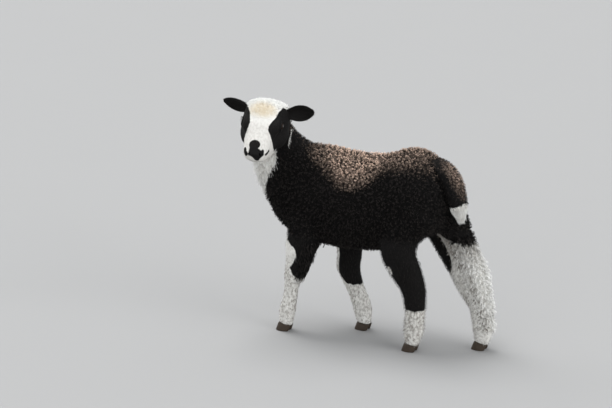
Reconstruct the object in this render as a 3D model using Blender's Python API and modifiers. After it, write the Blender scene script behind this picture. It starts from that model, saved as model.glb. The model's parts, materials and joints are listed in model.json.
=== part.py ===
"""A life-size lamb about six weeks old, standing with its head turned to its left.

Metres, +Z up, the lamb facing -X with its left side towards -Y. Every outline here is that of
the coat's tips. The animal is modelled whole, then parted by thin cuts into the pieces that a
person would name.
"""
import math

import bmesh
import bpy
import numpy as np
from mathutils import Matrix, Vector
from mathutils.bvhtree import BVHTree

# Gap kept between pieces that touch
GAP = 0.0003
# How far the modelling origin lies from the middle of the finished lamb's footprint
SHIFT = Vector((0.06246, 0.04356, 0.0))

# Trunk, rump to chest: distance along X, back line, belly line, half width
TRUNK = (
    (0.172, 0.402, 0.345, 0.028),
    (0.163, 0.432, 0.318, 0.052),
    (0.145, 0.460, 0.296, 0.074),
    (0.117, 0.483, 0.280, 0.087),
    (0.083, 0.493, 0.266, 0.094),
    (0.050, 0.488, 0.246, 0.093),
    (0.010, 0.472, 0.228, 0.091),
    (-0.040, 0.464, 0.221, 0.095),
    (-0.090, 0.465, 0.218, 0.096),
    (-0.140, 0.470, 0.219, 0.092),
    (-0.185, 0.470, 0.223, 0.084),
    (-0.225, 0.455, 0.231, 0.074),
    (-0.260, 0.432, 0.246, 0.062),
    (-0.287, 0.405, 0.270, 0.046),
    (-0.305, 0.375, 0.302, 0.024),
)
TRUNK_NARROWING = 0.16

# Neck, tail and legs: centre X, Y, Z, half width across, half width fore and aft
NECK = (
    (-0.190, 0.000, 0.360, 0.074, 0.098),
    (-0.237, 0.000, 0.396, 0.068, 0.086),
    (-0.274, -0.006, 0.436, 0.061, 0.072),
    (-0.292, -0.018, 0.478, 0.055, 0.060),
    (-0.295, -0.036, 0.512, 0.049, 0.052),
    (-0.291, -0.056, 0.532, 0.038, 0.040),
)
TAIL = (
    (0.122, 0.000, 0.460, 0.026, 0.016),
    (0.145, 0.000, 0.449, 0.034, 0.023),
    (0.168, 0.000, 0.424, 0.037, 0.026),
    (0.180, 0.000, 0.394, 0.036, 0.026),
    (0.189, 0.000, 0.366, 0.031, 0.023),
    (0.195, 0.000, 0.343, 0.022, 0.017),
    (0.197, 0.000, 0.328, 0.012, 0.010),
)
FORELEG_LEFT = (
    (-0.172, -0.052, 0.305, 0.036, 0.052),
    (-0.186, -0.063, 0.258, 0.034, 0.046),
    (-0.194, -0.068, 0.226, 0.031, 0.040),
    (-0.199, -0.067, 0.197, 0.027, 0.034),
    (-0.209, -0.064, 0.165, 0.0245, 0.028),
    (-0.216, -0.062, 0.146, 0.0235, 0.0245),
    (-0.220, -0.061, 0.128, 0.0195, 0.0205),
    (-0.225, -0.059, 0.100, 0.0180, 0.0188),
    (-0.231, -0.057, 0.072, 0.0190, 0.0198),
    (-0.236, -0.056, 0.050, 0.0210, 0.0220),
    (-0.239, -0.055, 0.030, 0.0190, 0.0200),
    (-0.241, -0.055, 0.008, 0.0160, 0.0170),
)
FORELEG_RIGHT = (
    (-0.125, 0.050, 0.305, 0.036, 0.050),
    (-0.128, 0.058, 0.258, 0.034, 0.043),
    (-0.126, 0.059, 0.220, 0.031, 0.037),
    (-0.122, 0.056, 0.181, 0.028, 0.032),
    (-0.124, 0.053, 0.154, 0.0270, 0.0320),
    (-0.117, 0.051, 0.134, 0.0240, 0.0280),
    (-0.104, 0.048, 0.106, 0.0210, 0.0240),
    (-0.090, 0.044, 0.080, 0.0205, 0.0235),
    (-0.078, 0.040, 0.054, 0.0220, 0.0250),
    (-0.073, 0.037, 0.030, 0.0200, 0.0215),
    (-0.070, 0.037, 0.008, 0.0160, 0.0170),
)
HINDLEG_LEFT = (
    (0.108, -0.050, 0.365, 0.044, 0.066),
    (0.080, -0.057, 0.310, 0.042, 0.055),
    (0.063, -0.062, 0.268, 0.038, 0.046),
    (0.067, -0.064, 0.238, 0.034, 0.043),
    (0.081, -0.060, 0.206, 0.029, 0.040),
    (0.096, -0.056, 0.174, 0.026, 0.0345),
    (0.103, -0.054, 0.146, 0.0245, 0.0300),
    (0.105, -0.053, 0.106, 0.0225, 0.0260),
    (0.103, -0.051, 0.070, 0.0225, 0.0250),
    (0.101, -0.050, 0.050, 0.0235, 0.0255),
    (0.098, -0.050, 0.030, 0.0200, 0.0210),
    (0.096, -0.050, 0.008, 0.0165, 0.0175),
)
HINDLEG_RIGHT = (
    (0.114, 0.048, 0.365, 0.044, 0.060),
    (0.129, 0.055, 0.310, 0.044, 0.062),
    (0.147, 0.058, 0.268, 0.041, 0.058),
    (0.160, 0.056, 0.238, 0.037, 0.052),
    (0.181, 0.053, 0.209, 0.033, 0.050),
    (0.199, 0.050, 0.181, 0.030, 0.0480),
    (0.214, 0.047, 0.148, 0.0275, 0.0395),
    (0.233, 0.042, 0.108, 0.0240, 0.0275),
    (0.240, 0.039, 0.074, 0.0230, 0.0250),
    (0.244, 0.037, 0.050, 0.0235, 0.0255),
    (0.243, 0.036, 0.030, 0.0200, 0.0210),
    (0.241, 0.036, 0.008, 0.0165, 0.0175),
)

# Wool of the throat, from below the jaw to the chest
BIB = (
    (-0.291, -0.048, 0.452, 0.038, 0.040),
    (-0.290, -0.044, 0.415, 0.041, 0.043),
    (-0.279, -0.038, 0.378, 0.041, 0.043),
    (-0.262, -0.032, 0.342, 0.040, 0.042),
    (-0.242, -0.026, 0.312, 0.036, 0.038),
)

# Head: where it sits and how it is turned
HEAD_PLACE = Vector((-0.293, -0.030, 0.557))
HEAD_YAW, HEAD_PITCH, HEAD_ROLL = (math.radians(a) for a in (12.8, 27.0, -5.0))
# From the back of the skull to the lips: distance, crown, chin, half width, widest level
SKULL = (
    (-0.016, -0.006, -0.040, 0.028, -0.020),
    (0.000, 0.014, -0.048, 0.042, -0.014),
    (0.022, 0.041, -0.054, 0.053, -0.008),
    (0.045, 0.056, -0.056, 0.057, -0.010),
    (0.068, 0.053, -0.055, 0.056, -0.012),
    (0.088, 0.041, -0.052, 0.050, -0.014),
    (0.108, 0.032, -0.048, 0.0425, -0.014),
    (0.128, 0.025, -0.043, 0.037, -0.013),
    (0.146, 0.019, -0.039, 0.0335, -0.012),
    (0.160, 0.013, -0.035, 0.031, -0.011),
    (0.171, 0.005, -0.029, 0.026, -0.010),
    (0.178, -0.003, -0.021, 0.016, -0.011),
)
# How square the head is in section: 1 is an oval, less is squarer
SKULL_SQUARENESS = 0.84
# Rounded forms laid on each side of the skull: place and radii along, across and up
HEAD_FORMS = (
    ((0.087, 0.0340, 0.019), (0.030, 0.0150, 0.018)),
    ((0.068, 0.031, -0.023), (0.046, 0.0285, 0.033)),
    ((0.115, 0.020, -0.026), (0.045, 0.018, 0.018)),
    ((0.158, 0.012, -0.012), (0.018, 0.018, 0.021)),
)
EYE_PLACE = Vector((0.087, 0.0468, 0.019))
EYE_FACING = Vector((0.30, 0.94, 0.12))
EYE_RADIUS = 0.0115
EYE_DEPTH = 0.0077
LID_WIDTH, LID_HEIGHT, LID_THICKNESS = 0.0118, 0.0090, 0.0021
NOSTRIL_PLACE = Vector((0.171, 0.0125, -0.002))
NOSTRIL_RADII = Vector((0.007, 0.0022, 0.0048))
# The line of the mouth on the left side: distance along the head, across, up
MOUTH = (
    (0.1775, 0.000, -0.0210),
    (0.1760, 0.010, -0.0215),
    (0.1700, 0.020, -0.0225),
    (0.1600, 0.0270, -0.0235),
    (0.1500, 0.0290, -0.0235),
    (0.1400, 0.0305, -0.0210),
)
MOUTH_GROOVE = 0.0014

# Ears: root on the left side of the head, the way they point, and their leaf
EAR_ROOT = Vector((0.036, 0.042, 0.011))
EAR_POINTS = {"left": Vector((-0.20, 0.97, 0.08)), "right": Vector((-0.20, -0.95, 0.10))}
EAR_CUP_FACES = {"left": Vector((0.93, 0.10, 0.22)), "right": Vector((0.93, -0.10, -0.12))}
# Along the ear: distance, half width, depth of the cup, thickness
EAR_LEAF = (
    (0.000, 0.0120, 0.0110, 0.0120),
    (0.012, 0.0150, 0.0125, 0.0090),
    (0.026, 0.0205, 0.0130, 0.0065),
    (0.040, 0.0220, 0.0120, 0.0055),
    (0.053, 0.0190, 0.0090, 0.0050),
    (0.064, 0.0120, 0.0050, 0.0042),
    (0.071, 0.0045, 0.0018, 0.0030),
)

# Hooves: each claw's length, width and height, and the slope of the coronet
CLAW_LENGTH, CLAW_WIDTH = 0.034, 0.0150
CLAW_TOE_HEIGHT, CLAW_HEEL_HEIGHT = 0.026, 0.017
CLAW_CLEFT = 0.0022
CLAW_TOE_LEAN = 0.009
# Where each foot's claws are centred
FEET = {
    "fore_left": (-0.243, -0.0550),
    "fore_right": (-0.073, 0.0370),
    "hind_left": (0.094, -0.0500),
    "hind_right": (0.239, 0.0360),
}

# Fleece: rounded clumps set close, each sunk in a core that lies half the coat's depth down
CORE_DEPTH = 0.009
BODY_CLUMPS, TAIL_CLUMPS, POLL_CLUMPS = 110, 20, 8
BODY_SEED, TAIL_SEED, POLL_SEED = 7, 3, 11
# Size of the block that trims wool from the tail's root, where it joins the rump
TAIL_TRIM = 0.06
# How deep the tail's and the poll's wool is, beside the body's
TAIL_WOOL, POLL_WOOL = 0.60, 0.42
# From a clump's tip to its root: how far out, and how far down
CLUMP_STEPS = ((0.0, 0.0), (0.55, 0.0026), (1.0, 0.0145))
CLUMP_SIDES = 7
# A clump's radius beside the root of the area it has to cover
CLUMP_SPREAD = 0.84
# How far the tips stand past the coat's even outline, at least and at most
CLUMP_RISE = (0.0002, 0.0026)
# Below these heights the coat is short: forelegs, hind legs, and how far it takes to change
FLEECE_ENDS = {"foreleg": 0.232, "hindleg": 0.262}
FLEECE_FADES = 0.034
# How near a leg's middle line its short coat reaches
LEG_REACH = (0.040, 0.060)
# The groin between the thighs, which is nearly bare: its middle and half sizes
GROIN = (Vector((0.110, 0.0, 0.268)), Vector((0.065, 0.034, 0.045)))

# Thin cuts: middle, the way the cut faces, half size across and half size up
CUTS = (
    ((-0.250, 0.000, 0.396), (-0.83, 0.0, 0.555), 0.110, 0.115),
    ((-0.055, 0.000, 0.350), (1.0, 0.0, 0.0), 0.125, 0.150),
    ((0.004, 0.000, 0.350), (1.0, 0.0, 0.06), 0.125, 0.150),
    ((-0.196, -0.070, 0.2200), (0.10, 0.0, 1.0), 0.050, 0.055),
    ((-0.127, 0.062, 0.2180), (0.00, 0.0, 1.0), 0.050, 0.052),
    ((0.072, -0.062, 0.2360), (-0.08, 0.0, 1.0), 0.066, 0.068),
    ((0.160, 0.060, 0.2380), (-0.45, 0.0, 1.0), 0.062, 0.078),
    ((-0.216, -0.062, 0.1440), (0.14, 0.0, 1.0), 0.040, 0.040),
    ((-0.118, 0.051, 0.1440), (-0.25, 0.0, 1.0), 0.040, 0.040),
    ((0.100, -0.056, 0.1640), (-0.30, 0.0, 1.0), 0.045, 0.050),
    ((0.206, 0.050, 0.1640), (-0.40, 0.0, 1.0), 0.045, 0.056),
)

# The cut behind the jaw, in head axes, and how far out along the ears they are cut
HEAD_CUT = ((0.040, 0.000, -0.027), (0.64, 0.0, 0.77), 0.090, 0.130)
EAR_CUT = 0.017
# Closed surfaces with fewer faces than this are loose scraps
LEAST_FACES = 60
# A place beside each piece that the cuts leave, or inside it
TAIL_PLACE = (0.300, 0.000, 0.400)
PLACES = {
    "head": (-0.262, -0.165, 0.500),
    "ear_left": (-0.190, -0.060, 0.560),
    "ear_right": (-0.375, -0.110, 0.565),
    "neck": (-0.300, -0.020, 0.450),
    "forequarters": (-0.130, 0.000, 0.470),
    "barrel": (-0.030, 0.000, 0.465),
    "hindquarters": (0.085, 0.000, 0.492),
    "foreleg_left_upper": (-0.205, -0.070, 0.180),
    "foreleg_left_lower": (-0.225, -0.060, 0.090),
    "foreleg_right_upper": (-0.120, 0.055, 0.180),
    "foreleg_right_lower": (-0.085, 0.045, 0.075),
    "hindleg_left_upper": (0.085, -0.062, 0.200),
    "hindleg_left_lower": (0.105, -0.053, 0.100),
    "hindleg_right_upper": (0.185, 0.054, 0.205),
    "hindleg_right_lower": (0.235, 0.042, 0.100),
}

# The grid that melts the forms together, rounds that fill creases, rounds that even, and faces
BODY_MELT, BODY_FACES = (0.0045, 3, 40), 2200
HEAD_MELT, HEAD_FACES = (0.003, 6, 150), 1600

COATS = {
    "black_fleece": ((0.022, 0.017, 0.016), 0.90, 0.0),
    "white_fleece": ((0.72, 0.69, 0.64), 0.88, 0.0),
    "black_hair": ((0.014, 0.012, 0.013), 0.75, 0.0),
    "white_hair": ((0.78, 0.76, 0.72), 0.80, 0.0),
    "eye": ((0.030, 0.018, 0.010), 0.08, 0.0),
    "hoof": ((0.055, 0.045, 0.036), 0.45, 0.0),
}


COAT_OF = {
    "head": "white_hair",
    "ear": "black_hair",
    "eye": "eye",
    "hoof": "hoof",
    "foreleg_left_lower": "white_hair",
    "foreleg_right_lower": "white_hair",
    "hindleg_left_lower": "white_hair",
    "hindleg_right_lower": "white_hair",
    "hindleg_right_upper": "white_fleece",
}


def collection(name, hidden=False):
    """A new collection in the scene."""
    made = bpy.data.collections.new(name)
    bpy.context.scene.collection.children.link(made)
    made.hide_render = hidden
    return made


def mesh_object(name, bm, group):
    """An object from a bmesh, with its faces pointing out."""
    bmesh.ops.recalc_face_normals(bm, faces=bm.faces)
    mesh = bpy.data.meshes.new(name)
    bm.to_mesh(mesh)
    bm.free()
    made = bpy.data.objects.new(name, mesh)
    group.objects.link(made)
    return made


def evaluated(source, group, name=None):
    """A plain mesh object of what an object's modifiers make, which takes its place."""
    bpy.context.view_layer.update()
    graph = bpy.context.evaluated_depsgraph_get()
    mesh = bpy.data.meshes.new_from_object(source.evaluated_get(graph))
    mesh.transform(source.matrix_world)
    name = name or source.name
    bpy.data.objects.remove(source)
    made = bpy.data.objects.new(name, mesh)
    group.objects.link(made)
    return made


def curve_through(rows, steps):
    """Rows of numbers joined by a smooth curve through each of them."""
    rows = np.array(rows, float)
    ends = np.vstack([2 * rows[0] - rows[1], rows, 2 * rows[-1] - rows[-2]])
    found = []
    for a, b, c, d in zip(ends, ends[1:], ends[2:], ends[3:]):
        for t in np.arange(steps) / steps:
            bend = (2 * a - 5 * b + 4 * c - d) * t * t + (3 * b - a - 3 * c + d) * t**3
            found.append(0.5 * (2 * b + (c - a) * t + bend))
    found.append(rows[-1])
    return found


def loft(name, rings, group):
    """A closed surface through rings of points, with its ends closed by fans."""
    bm = bmesh.new()
    rows = [[bm.verts.new(p) for p in ring] for ring in rings]
    count = len(rows[0])
    for near, far in zip(rows, rows[1:]):
        for i in range(count):
            j = (i + 1) % count
            bm.faces.new((near[i], near[j], far[j], far[i]))
    for row in (rows[0], rows[-1]):
        middle = bm.verts.new(sum((v.co for v in row), Vector()) / count)
        for i in range(count):
            bm.faces.new((row[i], row[(i + 1) % count], middle))
    return mesh_object(name, bm, group)


def trunk(group, sides=24, steps=3):
    """Chest, belly and rump, a little narrower along the back than at the ribs."""
    rings = []
    for x, top, bottom, half in curve_through(TRUNK, steps):
        middle, height = (top + bottom) / 2, (top - bottom) / 2
        ring = []
        for k in range(sides):
            turn = 2 * math.pi * k / sides
            narrow = 1 - TRUNK_NARROWING * max(0.0, math.sin(turn)) ** 2
            across = half * narrow * math.cos(turn)
            ring.append(Vector((x, across, middle + height * math.sin(turn))))
        rings.append(ring)
    return loft("trunk", rings, group)


def limb(name, path, group, sides=16, steps=3, inset=0.0):
    """A neck, tail or leg: ovals set square to a smooth path."""
    rows = curve_through(path, steps)
    points = [Vector(row[:3]) for row in rows]
    rings = []
    for i, row in enumerate(rows):
        along = points[min(i + 1, len(points) - 1)] - points[max(i - 1, 0)]
        along.normalize()
        across = Vector((0, 1, 0))
        across = (across - along * across.dot(along)).normalized()
        fore = along.cross(across)
        ring = []
        for k in range(sides):
            turn = 2 * math.pi * k / sides
            wide = across * (row[3] - inset) * math.cos(turn)
            ring.append(points[i] + wide + fore * (row[4] - inset) * math.sin(turn))
        rings.append(ring)
    return loft(name, rings, group)


def head_matrix():
    """Head axes to the lamb's: X along the head to the nose, Y to its left, Z to its crown."""
    level = math.cos(HEAD_PITCH)
    nose = Vector(
        (math.sin(HEAD_YAW) * level, -math.cos(HEAD_YAW) * level, -math.sin(HEAD_PITCH))
    )
    left = Vector((0, 0, 1)).cross(nose).normalized()
    crown = nose.cross(left)
    rolled = left * math.cos(HEAD_ROLL) + crown * math.sin(HEAD_ROLL)
    turn = Matrix((nose, rolled, nose.cross(rolled))).transposed()
    return Matrix.Translation(HEAD_PLACE) @ turn.to_4x4()


def mirrored(point, side):
    """A place on the head's left side, or its twin on the right."""
    return Vector((point[0], point[1] if side == "left" else -point[1], point[2]))


def ball(name, place, radii, group, sides=20, levels=12):
    """An ellipsoid in the axes that the object's own matrix then gives."""
    bm = bmesh.new()
    bmesh.ops.create_uvsphere(bm, u_segments=sides, v_segments=levels, radius=1.0)
    bmesh.ops.scale(bm, vec=Vector(radii), verts=bm.verts)
    bmesh.ops.translate(bm, vec=Vector(place), verts=bm.verts)
    return mesh_object(name, bm, group)


def skull(group, sides=24, steps=3):
    """The head's long form in head axes."""
    rings = []
    for along, crown, chin, half, level in curve_through(SKULL, steps):
        ring = []
        for k in range(sides):
            turn = 2 * math.pi * k / sides
            across, up = math.cos(turn), math.sin(turn)
            across, up = (
                math.copysign(abs(t) ** SKULL_SQUARENESS, t) for t in (across, up)
            )
            rise = (crown - level) if up > 0 else (level - chin)
            ring.append(Vector((along, half * across, level + rise * up)))
        rings.append(ring)
    return loft("skull", rings, group)


def soften(mesh, filling, evening):
    """Fills creases, then evens the surface with a push back each round, so nothing shrinks."""
    points = np.empty(len(mesh.vertices) * 3)
    mesh.vertices.foreach_get("co", points)
    points = points.reshape(-1, 3)
    edges = np.empty(len(mesh.edges) * 2, int)
    mesh.edges.foreach_get("vertices", edges)
    near, far = edges.reshape(-1, 2).T
    count = np.bincount(edges, minlength=len(points))[:, None]
    for factor in (0.5,) * filling + (0.55, -0.57) * evening:
        total = np.zeros_like(points)
        np.add.at(total, near, points[far])
        np.add.at(total, far, points[near])
        points += factor * (total / count - points)
    mesh.vertices.foreach_set("co", points.ravel())
    mesh.update()


def melt(name, pieces, grid, filling, evening, group):
    """One surface round several closed ones, with soft creases."""
    bm = bmesh.new()
    for piece in pieces:
        bm.from_mesh(piece.data)
    for piece in pieces:
        bpy.data.objects.remove(piece)
    made = mesh_object(name, bm, group)
    net = made.modifiers.new("Melt", "REMESH")
    net.mode = "VOXEL"
    net.voxel_size = grid
    made = evaluated(made, group)
    soften(made.data, filling, evening)
    return made


def thinned(source, faces, group):
    """The same surface with about a set number of triangles."""
    source.data.calc_loop_triangles()
    thin = source.modifiers.new("Thin", "DECIMATE")
    thin.ratio = min(1.0, faces / len(source.data.loop_triangles))
    return evaluated(source, group)


def tree_of(source):
    """What finds the nearest place on a surface."""
    bm = bmesh.new()
    bm.from_mesh(source.data)
    found = BVHTree.FromBMesh(bm)
    bm.free()
    return found


def eased(value, low, high):
    """0 below one limit, 1 above the other, and a smooth step between."""
    t = min(1.0, max(0.0, (value - low) / (high - low)))
    return t * t * (3 - 2 * t)


def fleece(place):
    """How much of the full fleece grows at a place on the body: 0 is short hair, 1 is all."""
    least = 1.0
    for name, path in LEGS.items():
        rows = np.array(path)[::-1]
        x = np.interp(place[2], rows[:, 2], rows[:, 0])
        y = np.interp(place[2], rows[:, 2], rows[:, 1])
        away = math.hypot(place[0] - x, place[1] - y)
        low = FLEECE_ENDS[name.split("_")[0]]
        grown = eased(place[2], low, low + FLEECE_FADES)
        least = min(least, max(grown, eased(away, *LEG_REACH)))
    middle, half = GROIN
    inside = math.hypot(*((place[i] - middle[i]) / half[i] for i in range(3)))
    return least * eased(inside, 0.8, 1.2)


def poll(place):
    """How much wool grows at a place on the head, in head axes."""
    back = eased(place[0], -0.03, -0.01) * (1 - eased(place[0], 0.050, 0.064))
    side = 1 - eased(abs(place[1]), 0.034, 0.046)
    return back * side * eased(place[2], 0.016, 0.028)


def tail_wool(place):
    """How much wool grows at a place on the tail: its very tip is covered from above."""
    tip = TAIL[-1][2]
    return eased(place[2], tip, tip + 0.018)


def sink(source, depth, amount):
    """Lowers a surface along its own normals, by a depth times an amount at each place."""
    normals = [v.normal.copy() for v in source.data.vertices]
    for v, normal in zip(source.data.vertices, normals):
        v.co -= normal * depth * amount(v.co)


def spread(source, count, amount, seed, rounds=14):
    """Places set evenly over a surface, where the amount is over a half."""
    rng = np.random.default_rng(seed)
    mesh = source.data
    mesh.calc_loop_triangles()
    corners = np.array([[mesh.vertices[i].co[:] for i in t.vertices] for t in mesh.loop_triangles])
    a, b, c = corners.transpose(1, 0, 2)
    area = np.linalg.norm(np.cross(b - a, c - a), axis=1)
    kept = np.array([amount(Vector(m)) > 0.5 for m in corners.mean(1)])
    area[~kept] = 0
    chosen = rng.choice(len(area), 60 * count, p=area / area.sum())
    u, v = rng.random((2, len(chosen), 1))
    over = u + v > 1
    u, v = np.where(over, 1 - u, u), np.where(over, 1 - v, v)
    points = a[chosen] + u * (b - a)[chosen] + v * (c - a)[chosen]
    middles = points[rng.choice(len(points), count, replace=False)]
    for _ in range(rounds):
        near = np.linalg.norm(points[:, None] - middles[None], axis=2).argmin(1)
        held = np.bincount(near, minlength=count)[:, None]
        total = np.zeros_like(middles)
        np.add.at(total, near, points)
        middles = np.where(held > 0, total / np.maximum(held, 1), middles)
    share = area.sum() / 2 / len(points)
    return middles, np.sqrt(held[:, 0] * share), rng


def clump(middle, radius, tree, rng, group, depth=1.0):
    """One rounded clump of wool that follows the body under it, with its root sunk in."""
    place, normal, _, _ = tree.find_nearest(Vector(middle))
    side = normal.orthogonal().normalized()
    fore = normal.cross(side)
    start = rng.uniform(0, 2 * math.pi)
    rise = rng.uniform(*CLUMP_RISE) * depth
    rows = []
    for out, down in CLUMP_STEPS:
        ring = []
        for k in range(CLUMP_SIDES if out else 1):
            turn = start + 2 * math.pi * k / CLUMP_SIDES
            reach = radius * out * (rng.uniform(0.9, 1.1) if out else 1)
            way = side * math.cos(turn) + fore * math.sin(turn)
            spot, lean, _, _ = tree.find_nearest(place + way * reach)
            lean = (lean + normal * 0.6).normalized()
            ring.append(spot - lean * (down * depth - rise))
        rows.append(ring)
    bm = bmesh.new()
    rows = [[bm.verts.new(p) for p in ring] for ring in rows]
    tip, root = rows[0][0], rows[-1]
    foot = bm.verts.new(sum((v.co for v in root), Vector()) / CLUMP_SIDES - normal * 0.002)
    for i in range(CLUMP_SIDES):
        j = (i + 1) % CLUMP_SIDES
        bm.faces.new((tip, rows[1][i], rows[1][j]))
        bm.faces.new((foot, root[j], root[i]))
        for near, far in zip(rows[1:], rows[2:]):
            bm.faces.new((near[i], far[i], far[j], near[j]))
    return mesh_object("clump", bm, group)


def clumps_on(outline, count, amount, seed, group, depth=1.0, keep=lambda place: True):
    """Clumps all over a surface, each as wide as its own share of it asks."""
    tree = tree_of(outline)
    middles, widths, rng = spread(outline, count, amount, seed)
    return [
        clump(middle, width * CLUMP_SPREAD, tree, rng, group, depth)
        for middle, width in zip(middles, widths)
        if keep(middle)
    ]


def joined(name, base, pieces, operation, group, solver="EXACT"):
    """A Boolean of an object with a whole collection of others, which are then removed."""
    others = collection(name + "_pieces", hidden=True)
    for piece in pieces:
        for owner in list(piece.users_collection):
            owner.objects.unlink(piece)
        others.objects.link(piece)
    step = base.modifiers.new(operation, "BOOLEAN")
    step.operation = operation
    step.solver = solver
    step.operand_type = "COLLECTION"
    step.collection = others
    made = evaluated(base, group, name)
    for piece in list(others.objects):
        bpy.data.objects.remove(piece)
    bpy.data.collections.remove(others)
    return made


def eye_frame(side):
    """Axes of one eye in the head's: X across the lids, Y up, Z out of the eye."""
    out = mirrored(EYE_FACING, side).normalized()
    across = Vector((0, 0, 1)).cross(out).normalized()
    return Matrix((across, out.cross(across), out)).transposed()


def eyeball(side, group, extra=0.0, sides=14, levels=9):
    """One eye, set as deep as the real one."""
    radius = EYE_RADIUS + extra
    made = ball(f"eye_{side}", (0, 0, 0), (radius,) * 3, group, sides, levels)
    facing = mirrored(EYE_FACING, side).normalized()
    centre = mirrored(EYE_PLACE, side) - facing * EYE_DEPTH
    made.data.transform(Matrix.Translation(centre) @ eye_frame(side).to_4x4())
    return made


def lids(side, face, group, steps=14, sides=6):
    """The two lids as one almond ring that lies on the face round the eye."""
    turn = eye_frame(side)
    rings = []
    for i in range(steps):
        angle = 2 * math.pi * i / steps
        out = Vector((math.cos(angle), math.sin(angle), 0))
        rim = Vector((LID_WIDTH * out.x, LID_HEIGHT * out.y, 0))
        rim, normal, _, _ = face.find_nearest(mirrored(EYE_PLACE, side) + turn @ rim)
        out = turn @ out
        ring = []
        for k in range(sides):
            round_angle = 2 * math.pi * k / sides
            away = out * math.cos(round_angle) + normal * math.sin(round_angle)
            ring.append(rim + away * LID_THICKNESS)
        rings.append(ring)
    bm = bmesh.new()
    rows = [[bm.verts.new(p) for p in ring] for ring in rings]
    for i in range(steps):
        near, far = rows[i], rows[(i + 1) % steps]
        for k in range(sides):
            m = (k + 1) % sides
            bm.faces.new((near[k], near[m], far[m], far[k]))
    return mesh_object("lids", bm, group)


def tube(name, points, radius, group, sides=6):
    """A round rod along points, with closed ends."""
    rings = []
    for i, point in enumerate(points):
        along = (points[min(i + 1, len(points) - 1)] - points[max(i - 1, 0)]).normalized()
        across = along.cross(Vector((0, 0, 1))).normalized()
        up = across.cross(along)
        ring = []
        for k in range(sides):
            turn = 2 * math.pi * k / sides
            ring.append(point + (across * math.cos(turn) + up * math.sin(turn)) * radius)
        rings.append(ring)
    return loft(name, rings, group)


def mouth_line(group):
    """The groove between the lips, from corner to corner."""
    left = [Vector(p) for p in curve_through(MOUTH, 2)]
    right = [Vector((p.x, -p.y, p.z)) for p in left[1:]]
    return tube("mouth", right[::-1] + left, MOUTH_GROOVE, group, 5)


def nostril(side, group):
    """A slanting slit that curls up at its back."""
    made = ball("nostril", (0, 0, 0), NOSTRIL_RADII, group, 10, 6)
    lean = math.radians(28 if side == "left" else -28)
    turn = Matrix.Rotation(lean, 4, "Z") @ Matrix.Rotation(math.radians(-24), 4, "Y")
    made.data.transform(Matrix.Translation(mirrored(NOSTRIL_PLACE, side)) @ turn)
    return made


def ear(side, group, across=6):
    """A cupped leaf with a round root and a blunt tip."""
    out = EAR_POINTS[side].normalized()
    cup = EAR_CUP_FACES[side]
    cup = (cup - out * cup.dot(out)).normalized()
    wide = out.cross(cup)
    root = mirrored(EAR_ROOT, side)
    rings = []
    for along, half, depth, thick in EAR_LEAF:
        back, front = [], []
        for k in range(across + 1):
            t = -1 + 2 * k / across
            bow = depth * (1 - t * t)
            shell = thick * math.sqrt(max(0.0, 1 - abs(t) ** 3)) + 0.0008
            here = root + out * along + wide * (half * t)
            back.append(here - cup * bow)
            front.append(here - cup * (bow - shell))
        rings.append(back + front[::-1])
    return loft(f"ear_{side}", rings, group)


def head(group):
    """Skull, brows, cheeks, muzzle, lids, mouth and nostrils in one piece, in the lamb's axes."""
    forms = [skull(group)]
    for place, radii in HEAD_FORMS:
        for side in ("left", "right"):
            forms.append(ball("form", mirrored(place, side), radii, group))
    whole = melt("head", forms, *HEAD_MELT, group)
    face = tree_of(whole)
    wool = clumps_on(whole, POLL_CLUMPS, poll, POLL_SEED, group, POLL_WOOL)
    sink(whole, CORE_DEPTH * POLL_WOOL, poll)
    whole = thinned(whole, HEAD_FACES, group)
    added = [lids(side, face, group) for side in ("left", "right")]
    added += [ear(side, group) for side in ("left", "right")]
    whole = joined("head", whole, added + wool, "UNION", group)
    taken = [eyeball(side, group, GAP) for side in ("left", "right")]
    taken += [nostril(side, group) for side in ("left", "right")]
    taken.append(mouth_line(group))
    whole = joined("head", whole, taken, "DIFFERENCE", group)
    whole.data.transform(head_matrix())
    return whole


def tail(group, lamb):
    """The woolly tail, which hangs clear of the rump."""
    outline = limb("outline", TAIL, group, inset=CLUMP_RISE[1] * TAIL_WOOL)
    wool = clumps_on(outline, TAIL_CLUMPS, tail_wool, TAIL_SEED, group, TAIL_WOOL)
    core = limb("core", TAIL, group, sides=10, steps=1, inset=CORE_DEPTH * TAIL_WOOL)
    made = joined("tail", core, wool, "UNION", group)
    root, after = (Vector(row[:3]) for row in TAIL[:2])
    along = (after - root).normalized()
    behind = root + along * (2 * GAP - TAIL_TRIM / 2)
    end = slab(behind, along, TAIL_TRIM, TAIL_TRIM, group, TAIL_TRIM)
    made = joined("tail", made, [end], "DIFFERENCE", group)
    parted(made, {"tail": TAIL_PLACE}, lamb)
    bpy.data.objects.remove(outline)


def body(group):
    """Trunk, neck and the roots of the legs, melted together."""
    forms = [trunk(group), limb("neck", NECK, group), limb("bib", BIB, group)]
    for name, path in LEGS.items():
        forms.append(limb(name, path, group))
    return melt("body", forms, *BODY_MELT, group)


LEGS = {
    "foreleg_left": FORELEG_LEFT,
    "foreleg_right": FORELEG_RIGHT,
    "hindleg_left": HINDLEG_LEFT,
    "hindleg_right": HINDLEG_RIGHT,
}


def slab(middle, facing, half_across, half_up, group, thick=GAP):
    """A flat cutter, as thin as the gap between two pieces unless told otherwise."""
    bm = bmesh.new()
    bmesh.ops.create_cube(bm, size=2.0)
    size = Vector((half_across, half_up, thick / 2))
    bmesh.ops.scale(bm, vec=size, verts=bm.verts)
    made = mesh_object("slab", bm, group)
    facing = Vector(facing).normalized()
    across = Vector((0, 1, 0) if abs(facing.y) < 0.8 else (1, 0, 0))
    across = (across - facing * across.dot(facing)).normalized()
    turn = Matrix((across, facing.cross(across), facing)).transposed()
    made.data.transform(Matrix.Translation(Vector(middle)) @ turn.to_4x4())
    return made


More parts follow.
